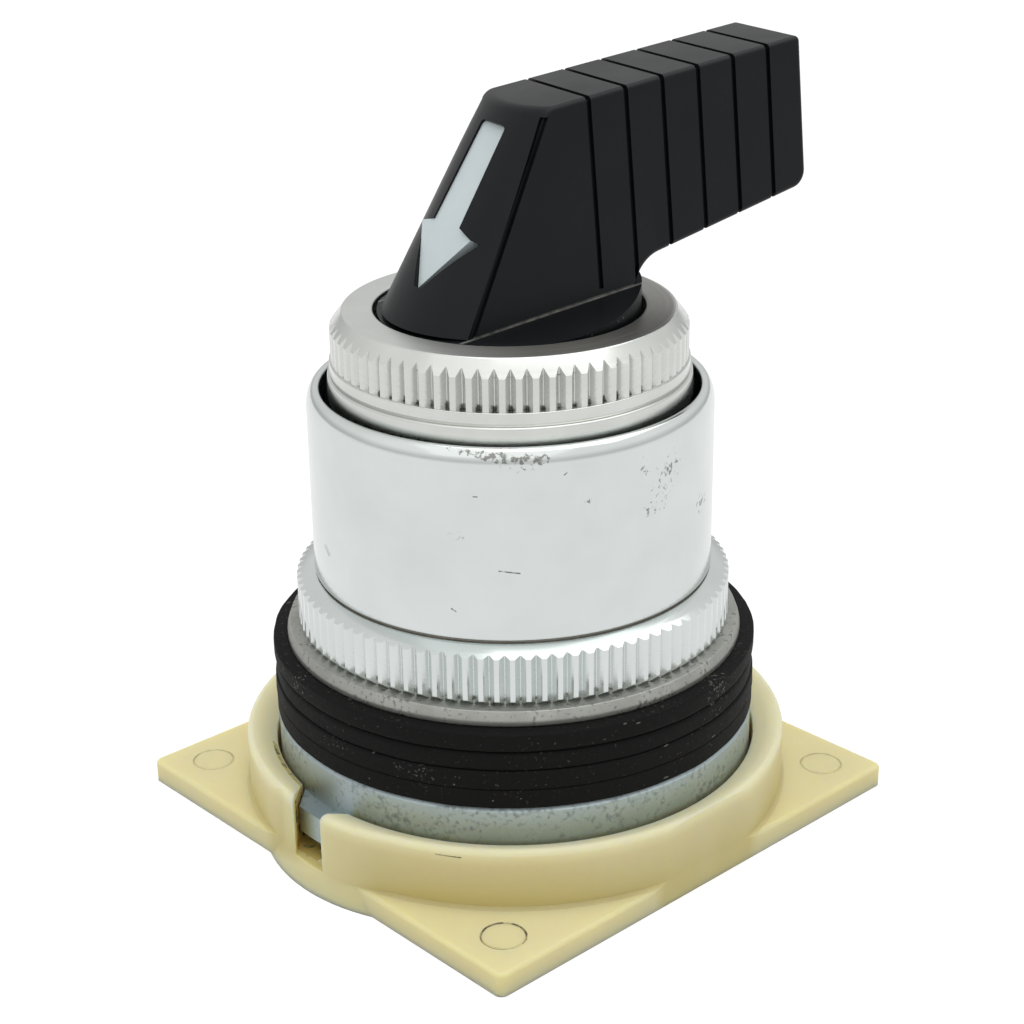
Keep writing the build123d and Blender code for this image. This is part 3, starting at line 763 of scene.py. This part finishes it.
# %% Dull steel
dull_steel, tree, here = new_finish("dull_zinc_plated_steel")
cloud = add(tree, "ShaderNodeTexNoise", {"Vector": here, "Scale": per_mm(2.5), "Detail": 5.0})[0]
coat = add(tree, "ShaderNodeMix", {0: cloud, 6: srgb("8C8D87"), 7: srgb("BABBB5")}, data_type="RGBA")[2]
grit = add(tree, "ShaderNodeTexNoise", {"Vector": here, "Scale": per_mm(0.35), "Detail": 5.0})[0]
grit_sum = add(tree, "ShaderNodeMath", {0: cloud, 1: 0.5, 2: grit}, operation="MULTIPLY_ADD")[0]
specked = add(
    tree, "ShaderNodeMapRange", {"Value": grit_sum, "From Min": 0.83, "From Max": 0.96, "To Max": 0.7}
)[0]
colour = add(tree, "ShaderNodeMix", {0: specked, 6: coat, 7: srgb("5B5850")}, data_type="RGBA")[2]
roughness = add(tree, "ShaderNodeMapRange", {"Value": cloud, "To Min": 0.58, "To Max": 0.4})[0]
bump = add(tree, "ShaderNodeBump", {"Height": grit, "Distance": 0.03 * MM, "Strength": 0.6})[0]
end_finish(dull_steel, {"Base Color": colour, "Metallic": 1.0, "Roughness": roughness, "Normal": bump})

# %% [markdown]
# ### Black gasket rubber
# Die-cut rubber is matt and deep black. Fine grey dust clings to it, thickest in a few places, with
# some paler fibres. The dust is a fine noise cut off near its top. The fibres are Voronoi cells with
# a tiny pale middle, drawn out on the slant.

# %% Gasket rubber
gasket_rubber, tree, here = new_finish("black_gasket_rubber")
cloud = add(tree, "ShaderNodeTexNoise", {"Vector": here, "Scale": per_mm(5), "Detail": 4.0})[0]
grain = add(tree, "ShaderNodeTexNoise", {"Vector": here, "Scale": per_mm(0.35), "Detail": 3.0})[0]
powder = add(
    tree, "ShaderNodeTexNoise", {"Vector": here, "Scale": per_mm(0.3), "Detail": 5.0, "Roughness": 0.7}
)[0]
gathered = patches(
    tree,
    here,
    [
        ((9.2, -18.6, 12.2), 2.0),
        ((7.4, -19.3, 12.4), 1.5),
        ((20.0, -5.1, 18.4), 2.2),
        ((20.6, -2.0, 17.8), 2.6),
        ((20.3, 4.1, 15.4), 3.0),
        ((-4.2, -20.2, 15.3), 2.6),
        ((1.2, -20.6, 12.6), 2.0),
    ],
)
thick = add(tree, "ShaderNodeMath", {0: cloud, 1: 0.2, 2: powder}, operation="MULTIPLY_ADD")[0]
thick = add(tree, "ShaderNodeMath", {0: gathered, 1: 0.12, 2: thick}, operation="MULTIPLY_ADD")[0]
powdered = add(
    tree, "ShaderNodeMapRange", {"Value": thick, "From Min": 0.74, "From Max": 0.9, "To Max": 0.6}
)[0]
slanted = add(
    tree, "ShaderNodeMapping", {"Vector": here, "Rotation": (0.5, 0.3, 0.8), "Scale": (1.0, 0.25, 1.0)}
)[0]
cells = add(tree, "ShaderNodeTexVoronoi", {"Vector": slanted, "Scale": per_mm(0.8)})
fibre = add(tree, "ShaderNodeMapRange", {"Value": cells["Distance"], "From Min": 0.11, "From Max": 0.06})[0]
chance = add(tree, "ShaderNodeSeparateXYZ", {0: cells["Color"]})["X"]
chosen = add(tree, "ShaderNodeMath", {0: chance, 1: 0.8}, operation="GREATER_THAN")[0]
fibres = add(tree, "ShaderNodeMath", {0: fibre, 1: chosen}, operation="MULTIPLY")[0]
dusty = add(tree, "ShaderNodeMath", {0: fibres, 1: 0.4}, operation="MULTIPLY")[0]
dusty = add(tree, "ShaderNodeMath", {0: dusty, 1: powdered}, operation="MAXIMUM")[0]
rubber = add(tree, "ShaderNodeMix", {0: grain, 6: srgb("040405"), 7: srgb("0F0F0E")}, data_type="RGBA")[2]
colour = add(tree, "ShaderNodeMix", {0: dusty, 6: rubber, 7: srgb("9A9A94")}, data_type="RGBA")[2]
roughness = add(tree, "ShaderNodeMapRange", {"Value": grain, "To Min": 0.6, "To Max": 0.85})[0]
bump = add(tree, "ShaderNodeBump", {"Height": grain, "Distance": 0.04 * MM, "Strength": 0.7})[0]
end_finish(
    gasket_rubber,
    {"Base Color": colour, "Roughness": roughness, "Specular IOR Level": 0.16, "Normal": bump},
)

# %% [markdown]
# ### Die-cast zinc
# The flange is bare die-cast zinc. It has dulled to a blue grey, with fine darker mottles where the
# skin of the casting has stained.

# %% Cast zinc
cast_zinc, tree, here = new_finish("die_cast_zinc")
cloud = add(tree, "ShaderNodeTexNoise", {"Vector": here, "Scale": per_mm(4), "Detail": 4.0})[0]
flakes = add(tree, "ShaderNodeTexNoise", {"Vector": here, "Scale": per_mm(0.45), "Detail": 6.0})[0]
skin = add(tree, "ShaderNodeMix", {0: cloud, 6: srgb("9AA8AC"), 7: srgb("BCC6C7")}, data_type="RGBA")[2]
flake_sum = add(tree, "ShaderNodeMath", {0: cloud, 1: 0.7, 2: flakes}, operation="MULTIPLY_ADD")[0]
stained = add(
    tree, "ShaderNodeMapRange", {"Value": flake_sum, "From Min": 0.86, "From Max": 1.08, "To Max": 0.6}
)[0]
colour = add(tree, "ShaderNodeMix", {0: stained, 6: skin, 7: srgb("6C7473")}, data_type="RGBA")[2]
roughness = add(tree, "ShaderNodeMapRange", {"Value": stained, "To Min": 0.5, "To Max": 0.7})[0]
bump = add(tree, "ShaderNodeBump", {"Height": flakes, "Distance": 0.05 * MM, "Strength": 0.5})[0]
end_finish(cast_zinc, {"Base Color": colour, "Metallic": 1.0, "Roughness": roughness, "Normal": bump})

# %% [markdown]
# ### Aged nylon
# The base is natural nylon that has yellowed. Light enters it and comes out nearby, which softens
# its shading, so it needs subsurface scattering. The foot of the collar's wall is painted a deeper
# yellow as painted shade, and the rim is paler. Dirt sits in the round ejector marks and on the cut
# wall of the key slot, which is stained to ochre.

# %% Aged nylon: colour and depth
aged_nylon, tree, here = new_finish("yellowed_natural_nylon")
apart = add(tree, "ShaderNodeSeparateXYZ", {0: here})
flat = add(tree, "ShaderNodeVectorMath", {0: here, 1: (1, 1, 0)}, operation="MULTIPLY")[0]
radius = add(tree, "ShaderNodeVectorMath", {0: flat}, operation="LENGTH")["Value"]
cloud = add(tree, "ShaderNodeTexNoise", {"Vector": here, "Scale": per_mm(14), "Detail": 3.0})[0]
resin = add(tree, "ShaderNodeMix", {0: cloud, 6: srgb("DACF97"), 7: srgb("E4DCB2")}, data_type="RGBA")[2]
# Each band of colour starts at one place and is full at another, both in mm.
outside, inside, low_down, high_up = [
    add(
        tree,
        "ShaderNodeMapRange",
        {"Value": measured, "From Min": starts * MM, "From Max": full * MM, "To Max": most},
    )[0]
    for measured, starts, full, most in (
        (radius, 22.8, 23.1, 1.0),
        (radius, 23.9, 23.6, 1.0),
        (apart["Z"], 6.6, 2.6, 0.6),
        (apart["Z"], 5.9, 7.2, 0.7),
    )
]
on_wall = add(tree, "ShaderNodeMath", {0: outside, 1: inside}, operation="MULTIPLY")[0]
# Painted shade: a deeper yellow (C9B86B) low on the collar's outer wall, where less light reaches.
foot_shade = add(tree, "ShaderNodeMath", {0: on_wall, 1: low_down}, operation="MULTIPLY")[0]
pale = add(tree, "ShaderNodeMix", {0: high_up, 6: resin, 7: srgb("ECE7C8")}, data_type="RGBA")[2]
body = add(tree, "ShaderNodeMix", {0: foot_shade, 6: pale, 7: srgb("C9B86B")}, data_type="RGBA")[2]
print("nylon nodes so far:", len(tree.nodes))

# %% Aged nylon: ejector marks
mark_offset, mark_radius = 19.2, 1.8
line_half, line_core = 0.1, 0.04
front_from, front_full = 10, 30
specks = add(tree, "ShaderNodeTexNoise", {"Vector": here, "Scale": per_mm(0.8), "Detail": 4.0})[0]
corner = add(tree, "ShaderNodeVectorMath", {0: flat}, operation="ABSOLUTE")[0]
from_mark = add(
    tree,
    "ShaderNodeVectorMath",
    {0: corner, 1: (mark_offset * MM, mark_offset * MM, 0)},
    operation="DISTANCE",
)["Value"]
off_ring = add(tree, "ShaderNodeMath", {0: from_mark, 1: mark_radius * MM}, operation="SUBTRACT")[0]
ring_gap = add(tree, "ShaderNodeMath", {0: off_ring}, operation="ABSOLUTE")[0]
on_ring = add(
    tree, "ShaderNodeMapRange", {"Value": ring_gap, "From Min": line_half * MM, "From Max": line_core * MM}
)[0]
ring_breaks = add(
    tree, "ShaderNodeMapRange", {"Value": specks, "From Min": 0.36, "From Max": 0.56, "To Min": 0.25}
)[0]
frontness = add(tree, "ShaderNodeMath", {0: apart["X"], 1: apart["Y"]}, operation="SUBTRACT")[0]
ring_depth = add(
    tree,
    "ShaderNodeMapRange",
    {
        "Value": frontness,
        "From Min": front_from * MM,
        "From Max": front_full * MM,
        "To Min": 0.3,
        "To Max": 0.9,
    },
)[0]
broken_ring = add(tree, "ShaderNodeMath", {0: on_ring, 1: ring_breaks}, operation="MULTIPLY")[0]
ring_dirt = add(tree, "ShaderNodeMath", {0: broken_ring, 1: ring_depth}, operation="MULTIPLY")[0]
print("nylon nodes so far:", len(tree.nodes))

# %% Aged nylon: cut wall, scratches and colour
# The cut wall lies within these limits, in mm.
cut_limits = [
    (radius, 23.42, "LESS_THAN"),
    (radius, 21.05, "GREATER_THAN"),
    (apart["Z"], 6.5, "LESS_THAN"),
    (apart["Z"], 1.9, "GREATER_THAN"),
    (apart["X"], 0.6, "LESS_THAN"),
    (apart["Y"], -18, "LESS_THAN"),
    (apart["Y"], -22.95, "GREATER_THAN"),
]
cut_wall = None
for measured, limit, side in cut_limits:
    kept = add(tree, "ShaderNodeMath", {0: measured, 1: limit * MM}, operation=side)[0]
    if cut_wall:
        kept = add(tree, "ShaderNodeMath", {0: cut_wall, 1: kept}, operation="MULTIPLY")[0]
    cut_wall = kept
cut_specks = add(
    tree, "ShaderNodeMapRange", {"Value": specks, "From Min": 0.52, "From Max": 0.62, "To Max": 0.85}
)[0]
cut_dirt = add(tree, "ShaderNodeMath", {0: cut_wall, 1: cut_specks}, operation="MULTIPLY")[0]
line = strokes(
    tree,
    here,
    [
        ((5.9, -22.75, 6.95), (7.1, -22.4, 6.72), 0.07),
        ((12.3, -20.02, 6.62), (14.0, -18.87, 6.56), 0.07),
        ((-1.5, -23.05, 6.2), (-1.5, -23.05, 2.3), 0.06),
        ((-1.5, -23.05, 2.3), (0.2, -23.05, 1.75), 0.06),
    ],
)
scratched = add(tree, "ShaderNodeMath", {0: line, 1: ring_breaks}, operation="MULTIPLY")[0]
dirt = add(tree, "ShaderNodeMath", {0: ring_dirt, 1: cut_dirt}, operation="MAXIMUM")[0]
dirt = add(tree, "ShaderNodeMath", {0: dirt, 1: scratched}, operation="MAXIMUM")[0]
stale = add(tree, "ShaderNodeMath", {0: cut_wall, 1: 0.85}, operation="MULTIPLY")[0]
stained = add(tree, "ShaderNodeMix", {0: stale, 6: body, 7: srgb("C6AF58")}, data_type="RGBA")[2]
colour = add(tree, "ShaderNodeMix", {0: dirt, 6: stained, 7: srgb("3E3626")}, data_type="RGBA")[2]
roughness = add(tree, "ShaderNodeMapRange", {"Value": cloud, "To Min": 0.38, "To Max": 0.55})[0]
bump = add(tree, "ShaderNodeBump", {"Height": cloud, "Distance": 0.25 * MM, "Strength": 0.4})[0]
end_finish(
    aged_nylon,
    {
        "Base Color": colour,
        "Roughness": roughness,
        "Specular IOR Level": 0.4,
        "Subsurface Weight": 0.9,
        "Subsurface Radius": (1.0, 0.8, 0.35),
        "Subsurface Scale": 2.5 * MM,
        "Normal": bump,
    },
)

# %% [markdown]
# ### Black moulded plastic
# The handle is moulded in black and has a low satin gloss. Dust lies on the sloping shelf at its
# foot. Along the corner above the shelf a pale line is painted, uneven like dust, as a painted
# highlight. A few fibres and scuffs lie on the top. The pattern is turned with the handle, which
# stands a little off square.

# %% Black plastic: dust and a painted highlight
handle_turn = math.radians(11.1)
shelf_height, shelf_rise, shelf_half = 45.58, 0.1175, 6.67
corner_reach, corner_core, shelf_reach = 0.22, 0.05, 0.3

black_plastic, tree, here = new_finish("black_moulded_plastic")
squared = add(tree, "ShaderNodeMapping", {"Vector": here, "Rotation": (0, 0, handle_turn)})[0]
apart = add(tree, "ShaderNodeSeparateXYZ", {0: squared})
cloud = add(tree, "ShaderNodeTexNoise", {"Vector": here, "Scale": per_mm(5), "Detail": 4.0})[0]
grain = add(tree, "ShaderNodeTexNoise", {"Vector": here, "Scale": per_mm(0.6), "Detail": 4.0})[0]
dots = add(tree, "ShaderNodeTexVoronoi", {"Vector": here, "Scale": per_mm(0.7)})["Distance"]
dot = add(tree, "ShaderNodeMapRange", {"Value": dots, "From Min": 0.2, "From Max": 0.1})[0]
sideways = add(tree, "ShaderNodeMath", {0: apart["X"]}, operation="ABSOLUTE")[0]
past_side = add(tree, "ShaderNodeMath", {0: sideways, 1: shelf_half * MM}, operation="SUBTRACT")[0]
level = add(
    tree, "ShaderNodeMath", {0: apart["Y"], 1: -shelf_rise, 2: apart["Z"]}, operation="MULTIPLY_ADD"
)[0]
over_shelf = add(tree, "ShaderNodeMath", {0: level, 1: shelf_height * MM}, operation="SUBTRACT")[0]
from_corner = add(tree, "ShaderNodeCombineXYZ", {"X": past_side, "Y": over_shelf})[0]
corner_gap = add(tree, "ShaderNodeVectorMath", {0: from_corner}, operation="LENGTH")["Value"]
# Painted highlight: a pale line along the corner between side wall and shelf, uneven like dust.
in_corner = add(
    tree,
    "ShaderNodeMapRange",
    {"Value": corner_gap, "From Min": corner_reach * MM, "From Max": corner_core * MM, "To Max": 0.34},
)[0]
uneven = add(
    tree, "ShaderNodeMapRange", {"Value": grain, "From Min": 0.3, "From Max": 0.6, "To Min": 0.4}
)[0]
corner_dust_and_highlight = add(tree, "ShaderNodeMath", {0: in_corner, 1: uneven}, operation="MULTIPLY")[0]
on_shelf = add(
    tree,
    "ShaderNodeMapRange",
    {"Value": over_shelf, "From Min": shelf_reach * MM, "From Max": 0.0, "To Min": 0.01, "To Max": 0.35},
)[0]
sparse = add(tree, "ShaderNodeMapRange", {"Value": cloud, "From Min": 0.5, "From Max": 0.65})[0]
thin_dust = add(tree, "ShaderNodeMath", {0: on_shelf, 1: sparse}, operation="MULTIPLY")[0]
dot_dust = add(tree, "ShaderNodeMath", {0: dot, 1: thin_dust}, operation="MULTIPLY")[0]
print("plastic nodes so far:", len(tree.nodes))

# %% Black plastic: fibres and colour
fibre = strokes(
    tree,
    here,
    [
        ((-1.5, 12.9, 61.6), (-0.6, 13.6, 61.8), 0.1),
        ((-0.6, 13.6, 61.8), (0.6, 13.9, 61.9), 0.08),
        ((3.9, -1.0, 61.0), (5.0, -0.6, 60.9), 0.12),
        ((-0.6, -10.7, 45.4), (0.2, -10.6, 44.9), 0.08),
    ],
)
fibre_dust = add(tree, "ShaderNodeMath", {0: fibre, 1: 0.5}, operation="MULTIPLY")[0]
dust_and_highlight = add(tree, "ShaderNodeMath", {0: corner_dust_and_highlight, 1: dot_dust}, operation="MAXIMUM")[0]
dust_and_highlight = add(tree, "ShaderNodeMath", {0: dust_and_highlight, 1: fibre_dust}, operation="MAXIMUM")[0]
resin = add(tree, "ShaderNodeMix", {0: cloud, 6: srgb("090B0D"), 7: srgb("111417")}, data_type="RGBA")[2]
colour = add(tree, "ShaderNodeMix", {0: dust_and_highlight, 6: resin, 7: srgb("B9B7B0")}, data_type="RGBA")[2]
roughness = add(tree, "ShaderNodeMapRange", {"Value": cloud, "To Min": 0.3, "To Max": 0.46})[0]
bump = add(tree, "ShaderNodeBump", {"Height": grain, "Distance": 0.01 * MM, "Strength": 0.5})[0]
end_finish(
    black_plastic,
    {"Base Color": colour, "Roughness": roughness, "Specular IOR Level": 0.2, "Normal": bump},
)

# %% [markdown]
# ### Plain plastics
# The arrow is a bluish white plastic. Cam, star wheel, guide plate and plungers are natural acetal,
# which is milky and slippery. Both are only faintly cloudy, so a noise between two near colours is
# enough, and one loop makes them.

# %% Plain plastics
plain = []
for name, cloud_size, detail, hues, sheens in (
    ("bluish_white_inlay_plastic", 3, 5.0, ("BDC9CC", "D0DADB"), (0.42, 0.6)),
    ("natural_acetal", 4, 2.0, ("DAD8D0", "EAE8E1"), (0.3, 0.42)),
):
    plastic, tree, here = new_finish(name)
    cloud = add(
        tree, "ShaderNodeTexNoise", {"Vector": here, "Scale": per_mm(cloud_size), "Detail": detail}
    )[0]
    colour = add(tree, "ShaderNodeMix", {0: cloud, 6: srgb(hues[0]), 7: srgb(hues[1])}, data_type="RGBA")[2]
    roughness = add(
        tree, "ShaderNodeMapRange", {"Value": cloud, "To Min": sheens[0], "To Max": sheens[1]}
    )[0]
    end_finish(plastic, {"Base Color": colour, "Roughness": roughness})
    plain.append(plastic)
pale_plastic, white_acetal = plain

# %% [markdown]
# ## Turned rings
# The outlines repeat the sizes of the solids and add the small eased edges that catch the light.
# Where a bevel meets the serrations it gets rows at quarter steps of the groove's depth, which is
# where the columns of a groove cross it, so that the teeth end in clean points. The edge of the guard
# is rolled inwards, as a quarter of an ellipse, and a fine groove at its foot is painted dark all
# round as painted shade. The face of the bezel is slightly crowned, so that it mirrors more of the
# tent than a flat one would.


# %% Rows on a bevel
def crossed_bevel(crest, groove, foot, end):
    """Rows of a bevel from the crest at a height to an end point, one per quarter of the groove."""
    rows = []
    for quarter in (1, 2, 3, 4):
        inwards = quarter * groove / 4
        part = inwards / (crest - end[0])
        rows.append((crest - inwards, foot + (end[1] - foot) * part, 0))
    return rows


print("a bevel has", len(crossed_bevel(14.7, 0.5, 0.0, (13.7, 1.5))), "rows in the grooves")

# %% Bezel ring
low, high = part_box("bezel_ring")
lip_radius, lip_foot, bezel_top = high.x / MM, low.z / MM, high.z / MM
lip_top, step_top, knurl_top = lip_foot + 2.3, lip_foot + 3.42, lip_foot + 6.12
step_radius, bezel_radius, flat_radius = 14.85, 14.72, 13.66
opening_radius, neck_radius = 11.12, 13.22
bezel_groove, face_crown, root_share = 0.5, 0.14, 0.06
ledge = bezel_top - 2.16
bezel = turned_piece(
    "serrated_bezel",
    [
        (lip_radius, lip_foot, 0.45, 2.5),
        (lip_radius, lip_foot + 0.7, 0, 1.5),
        (lip_radius, lip_top - 1.0, 0),
        (lip_radius - 0.06, lip_top, 0.2),
        (step_radius - 0.1, lip_top, 0),
        (step_radius, lip_top + 0.25, 0.08),
        (step_radius, step_top, 0.1),
        (bezel_radius, step_top, 0, 1.15),
        (bezel_radius, step_top + 0.35, 0, 0.95),
        (bezel_radius, step_top + 0.75, 0, 0.6),
        (bezel_radius, step_top + 1.4, 0),
        (bezel_radius, knurl_top - 0.3, 0),
        (bezel_radius, knurl_top, 0, 0.9),
        *crossed_bevel(bezel_radius, bezel_groove, knurl_top, (flat_radius, bezel_top - face_crown)),
        (flat_radius, bezel_top - face_crown, 0.12),
        (opening_radius, bezel_top, 0.3),
        (opening_radius, ledge, 0),
        (neck_radius, ledge, 0),
        (neck_radius, lip_foot, 0),
    ],
    bezel_plating,
    {
        **plain_ring,
        "Teeth": 72,
        "Crest Radius": bezel_radius * MM,
        "Groove Depth": bezel_groove * MM,
        "Crest Share": 0.38,
        "Root Share": root_share,
    },
)
stand_for(bezel, "bezel_ring")

# %% Ring nut
low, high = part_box("ring_nut")
nut_foot, guard_top = low.z / MM, high.z / MM
crest_radius, shoulder, guard_foot = 18.44, nut_foot + 4.1, nut_foot + 4.8
guard_radius, guard_bore, thread_bore = 16.9, 15.75, 14.81
nut_groove, foot_bevel, foot_soil = 0.42, 0.4, 1.0
foot_end = (crest_radius - nut_groove, nut_foot)
foot_rows = crossed_bevel(crest_radius, nut_groove, nut_foot + foot_bevel, foot_end)
# Painted shade: the undercut rows carry so much soil that the dark colour fills the groove at the guard's
# foot all round.
undercut, undercut_low, undercut_shade, rim_soil = 0.14, guard_foot - 0.04, 4.0, 1.6
roll_height, roll_width, roll_steps = 1.7, 0.78, 10
rolled_rim = []
for step in range(roll_steps + 1):
    turn = step / roll_steps * math.pi / 2
    out, up = roll_width * math.cos(turn), roll_height * math.sin(turn)
    rolled_rim.append((guard_radius - roll_width + out, guard_top - roll_height + up, 0, rim_soil))
nut = turned_piece(
    "guard_ring_nut",
    [
        *[(*row, foot_soil) for row in reversed(foot_rows)],
        (crest_radius, nut_foot + foot_bevel, 0, 0.95),
        (crest_radius, nut_foot + 0.9, 0, 0.75),
        (crest_radius, nut_foot + 1.5, 0, 0.4),
        (crest_radius, nut_foot + 2.2, 0),
        (crest_radius, shoulder - 0.3, 0),
        (crest_radius, shoulder, 0, 0.5),
        *crossed_bevel(crest_radius, nut_groove, shoulder, (guard_radius, guard_foot)),
        (guard_radius + 0.1, undercut_low, 0),
        (guard_radius - undercut, undercut_low, 0, undercut_shade),
        (guard_radius - undercut, guard_foot + undercut, 0, undercut_shade),
        (guard_radius, guard_foot + 0.24, 0.05),
        (guard_radius, guard_foot + 0.6, 0),
        (guard_radius, guard_top - roll_height - 0.4, 0),
        *rolled_rim,
        (guard_bore, guard_top, 0.35, rim_soil),
        (guard_bore, guard_foot, 0),
        (thread_bore, guard_foot, 0),
        (thread_bore, nut_foot, 0),
    ],
    guard_plating,
    {
        **plain_ring,
        "Teeth": 92,
        "Crest Radius": crest_radius * MM,
        "Groove Depth": nut_groove * MM,
        "Crest Share": 0.32,
        "Root Share": root_share,
    },
)
stand_for(nut, "ring_nut")

# %% Washer
low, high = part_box("thrust_washer")
panel_bore, rim_height, rim_width = 14.95, 0.75, 0.28
washer = turned_piece(
    "steel_washer",
    [
        (high.x / MM, low.z / MM, 0.15),
        (high.x / MM, high.z / MM - rim_height, 0.1),
        (high.x / MM - rim_width, high.z / MM, 0.08),
        (panel_bore, high.z / MM, 0.1),
        (panel_bore, low.z / MM, 0.1),
    ],
    dull_steel,
    plain_ring,
)
stand_for(washer, "thrust_washer")

# %% Gaskets
gasket_wobble, gasket_bore = 0.22, panel_bore + 0.1
foot_ease = {1: 0.12, 2: 0.22, 3: 0.28, 4: 0.5}
top_ease = {1: 0.22, 2: 0.28, 3: 0.5, 4: 0.2}
shrink = {1: 0.05, 2: 0.0, 3: 0.12, 4: 0.0}
for number in (1, 2, 3, 4):
    node = f"gasket_{number}"
    low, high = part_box(node)
    gasket_radius = high.x / MM - shrink[number]
    gasket = turned_piece(
        f"rubber_gasket_{number}",
        [
            (gasket_radius, low.z / MM, foot_ease[number]),
            (gasket_radius, high.z / MM, top_ease[number]),
            (gasket_bore, high.z / MM, 0.1),
            (gasket_bore, low.z / MM, 0.1),
        ],
        gasket_rubber,
        {**plain_ring, "Wobble": gasket_wobble * MM},
    )
    stand_for(gasket, node)

# %% [markdown]
# ## Moulded and cast pieces
# These keep the shape of their solids. A solid's mesh is loose triangles, so a copy is merged and
# shaded smooth where the surface is round.

# %% Smoothed copies
stand_for(smooth_copy("lever_grip", "lever_handle", black_plastic), "lever_handle")
stand_for(smooth_copy("nylon_base", "mounting_base", aged_nylon), "mounting_base")
stand_for(smooth_copy("zinc_casting", "barrel_body", cast_zinc), "barrel_body")

# %% [markdown]
# ## Arrow
# In the photograph the arrow's left edge comes level with the black around it, and its right edge
# lies deeper. So the face of its copy is lifted in the pocket, most on the left.

# %% Arrow
middle_lift, tilt = 0.27 * MM, 0.055
front_limit, face_depth = -0.5, 0.05 * MM
arrow = smooth_copy("arrow_inlay_plate", "arrow_inlay", pale_plastic)
facing = [face for face in arrow.data.polygons if face.normal.y < front_limit]
outward = max(facing, key=lambda face: face.area).normal.copy()
leftward = outward.cross(Vector((0, 0, 1))).normalized()
depths = [outward.dot(vertex.co) for vertex in arrow.data.vertices]
sides = [leftward.dot(vertex.co) for vertex in arrow.data.vertices]
centre = (min(sides) + max(sides)) / 2
for vertex, depth, side in zip(arrow.data.vertices, depths, sides):
    if depth > max(depths) - face_depth:
        vertex.co += outward * (middle_lift + tilt * (side - centre))
stand_for(arrow, "arrow_inlay")

# %% [markdown]
# ## Coil springs
# Each plunger stands on a coil spring, whose foot rests on the base. Each spring here is a smoothed
# copy of its solid, with its placing baked into the mesh, and the solid is hidden.

# %% Coil springs
for side in ("left", "right"):
    node = f"plunger_spring_{side}"
    low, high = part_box(node)
    spring = smooth_copy(f"coil_spring_{side}", node, dull_steel)
    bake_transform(spring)
    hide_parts(node)
    print(spring.name, "length in mm:", round((high.z - low.z) / MM, 2))

# %% [markdown]
# ## Hidden works
# Spindle, cam, star wheel and the rest are hidden at rest, and their solids have the right shape. They
# stay as they are, and each gets the finish that its material slot in the record names.

# %% Hidden works
finishes = {
    "dull_steel": dull_steel,
    "spring_steel": dull_steel,
    "black_rubber": gasket_rubber,
    "white_acetal": white_acetal,
}
for part in frame["record"]["subparts"]:
    solid = solids[part["node"]]
    if not solid.hide_render:
        solid.data.materials.clear()
        solid.data.materials.append(finishes[part["material_slot"]])
        print("finish on", solid.name)

# %% [markdown]
# ## Sizes
# The looks are meant to keep the size of the switch. The box of the dressed switch is printed in
# millimetres; the height of the solids was printed at the start.

# %% Sizes and finish
low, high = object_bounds()
print("visual box in mm:", [round(edge / MM, 2) for edge in high - low])
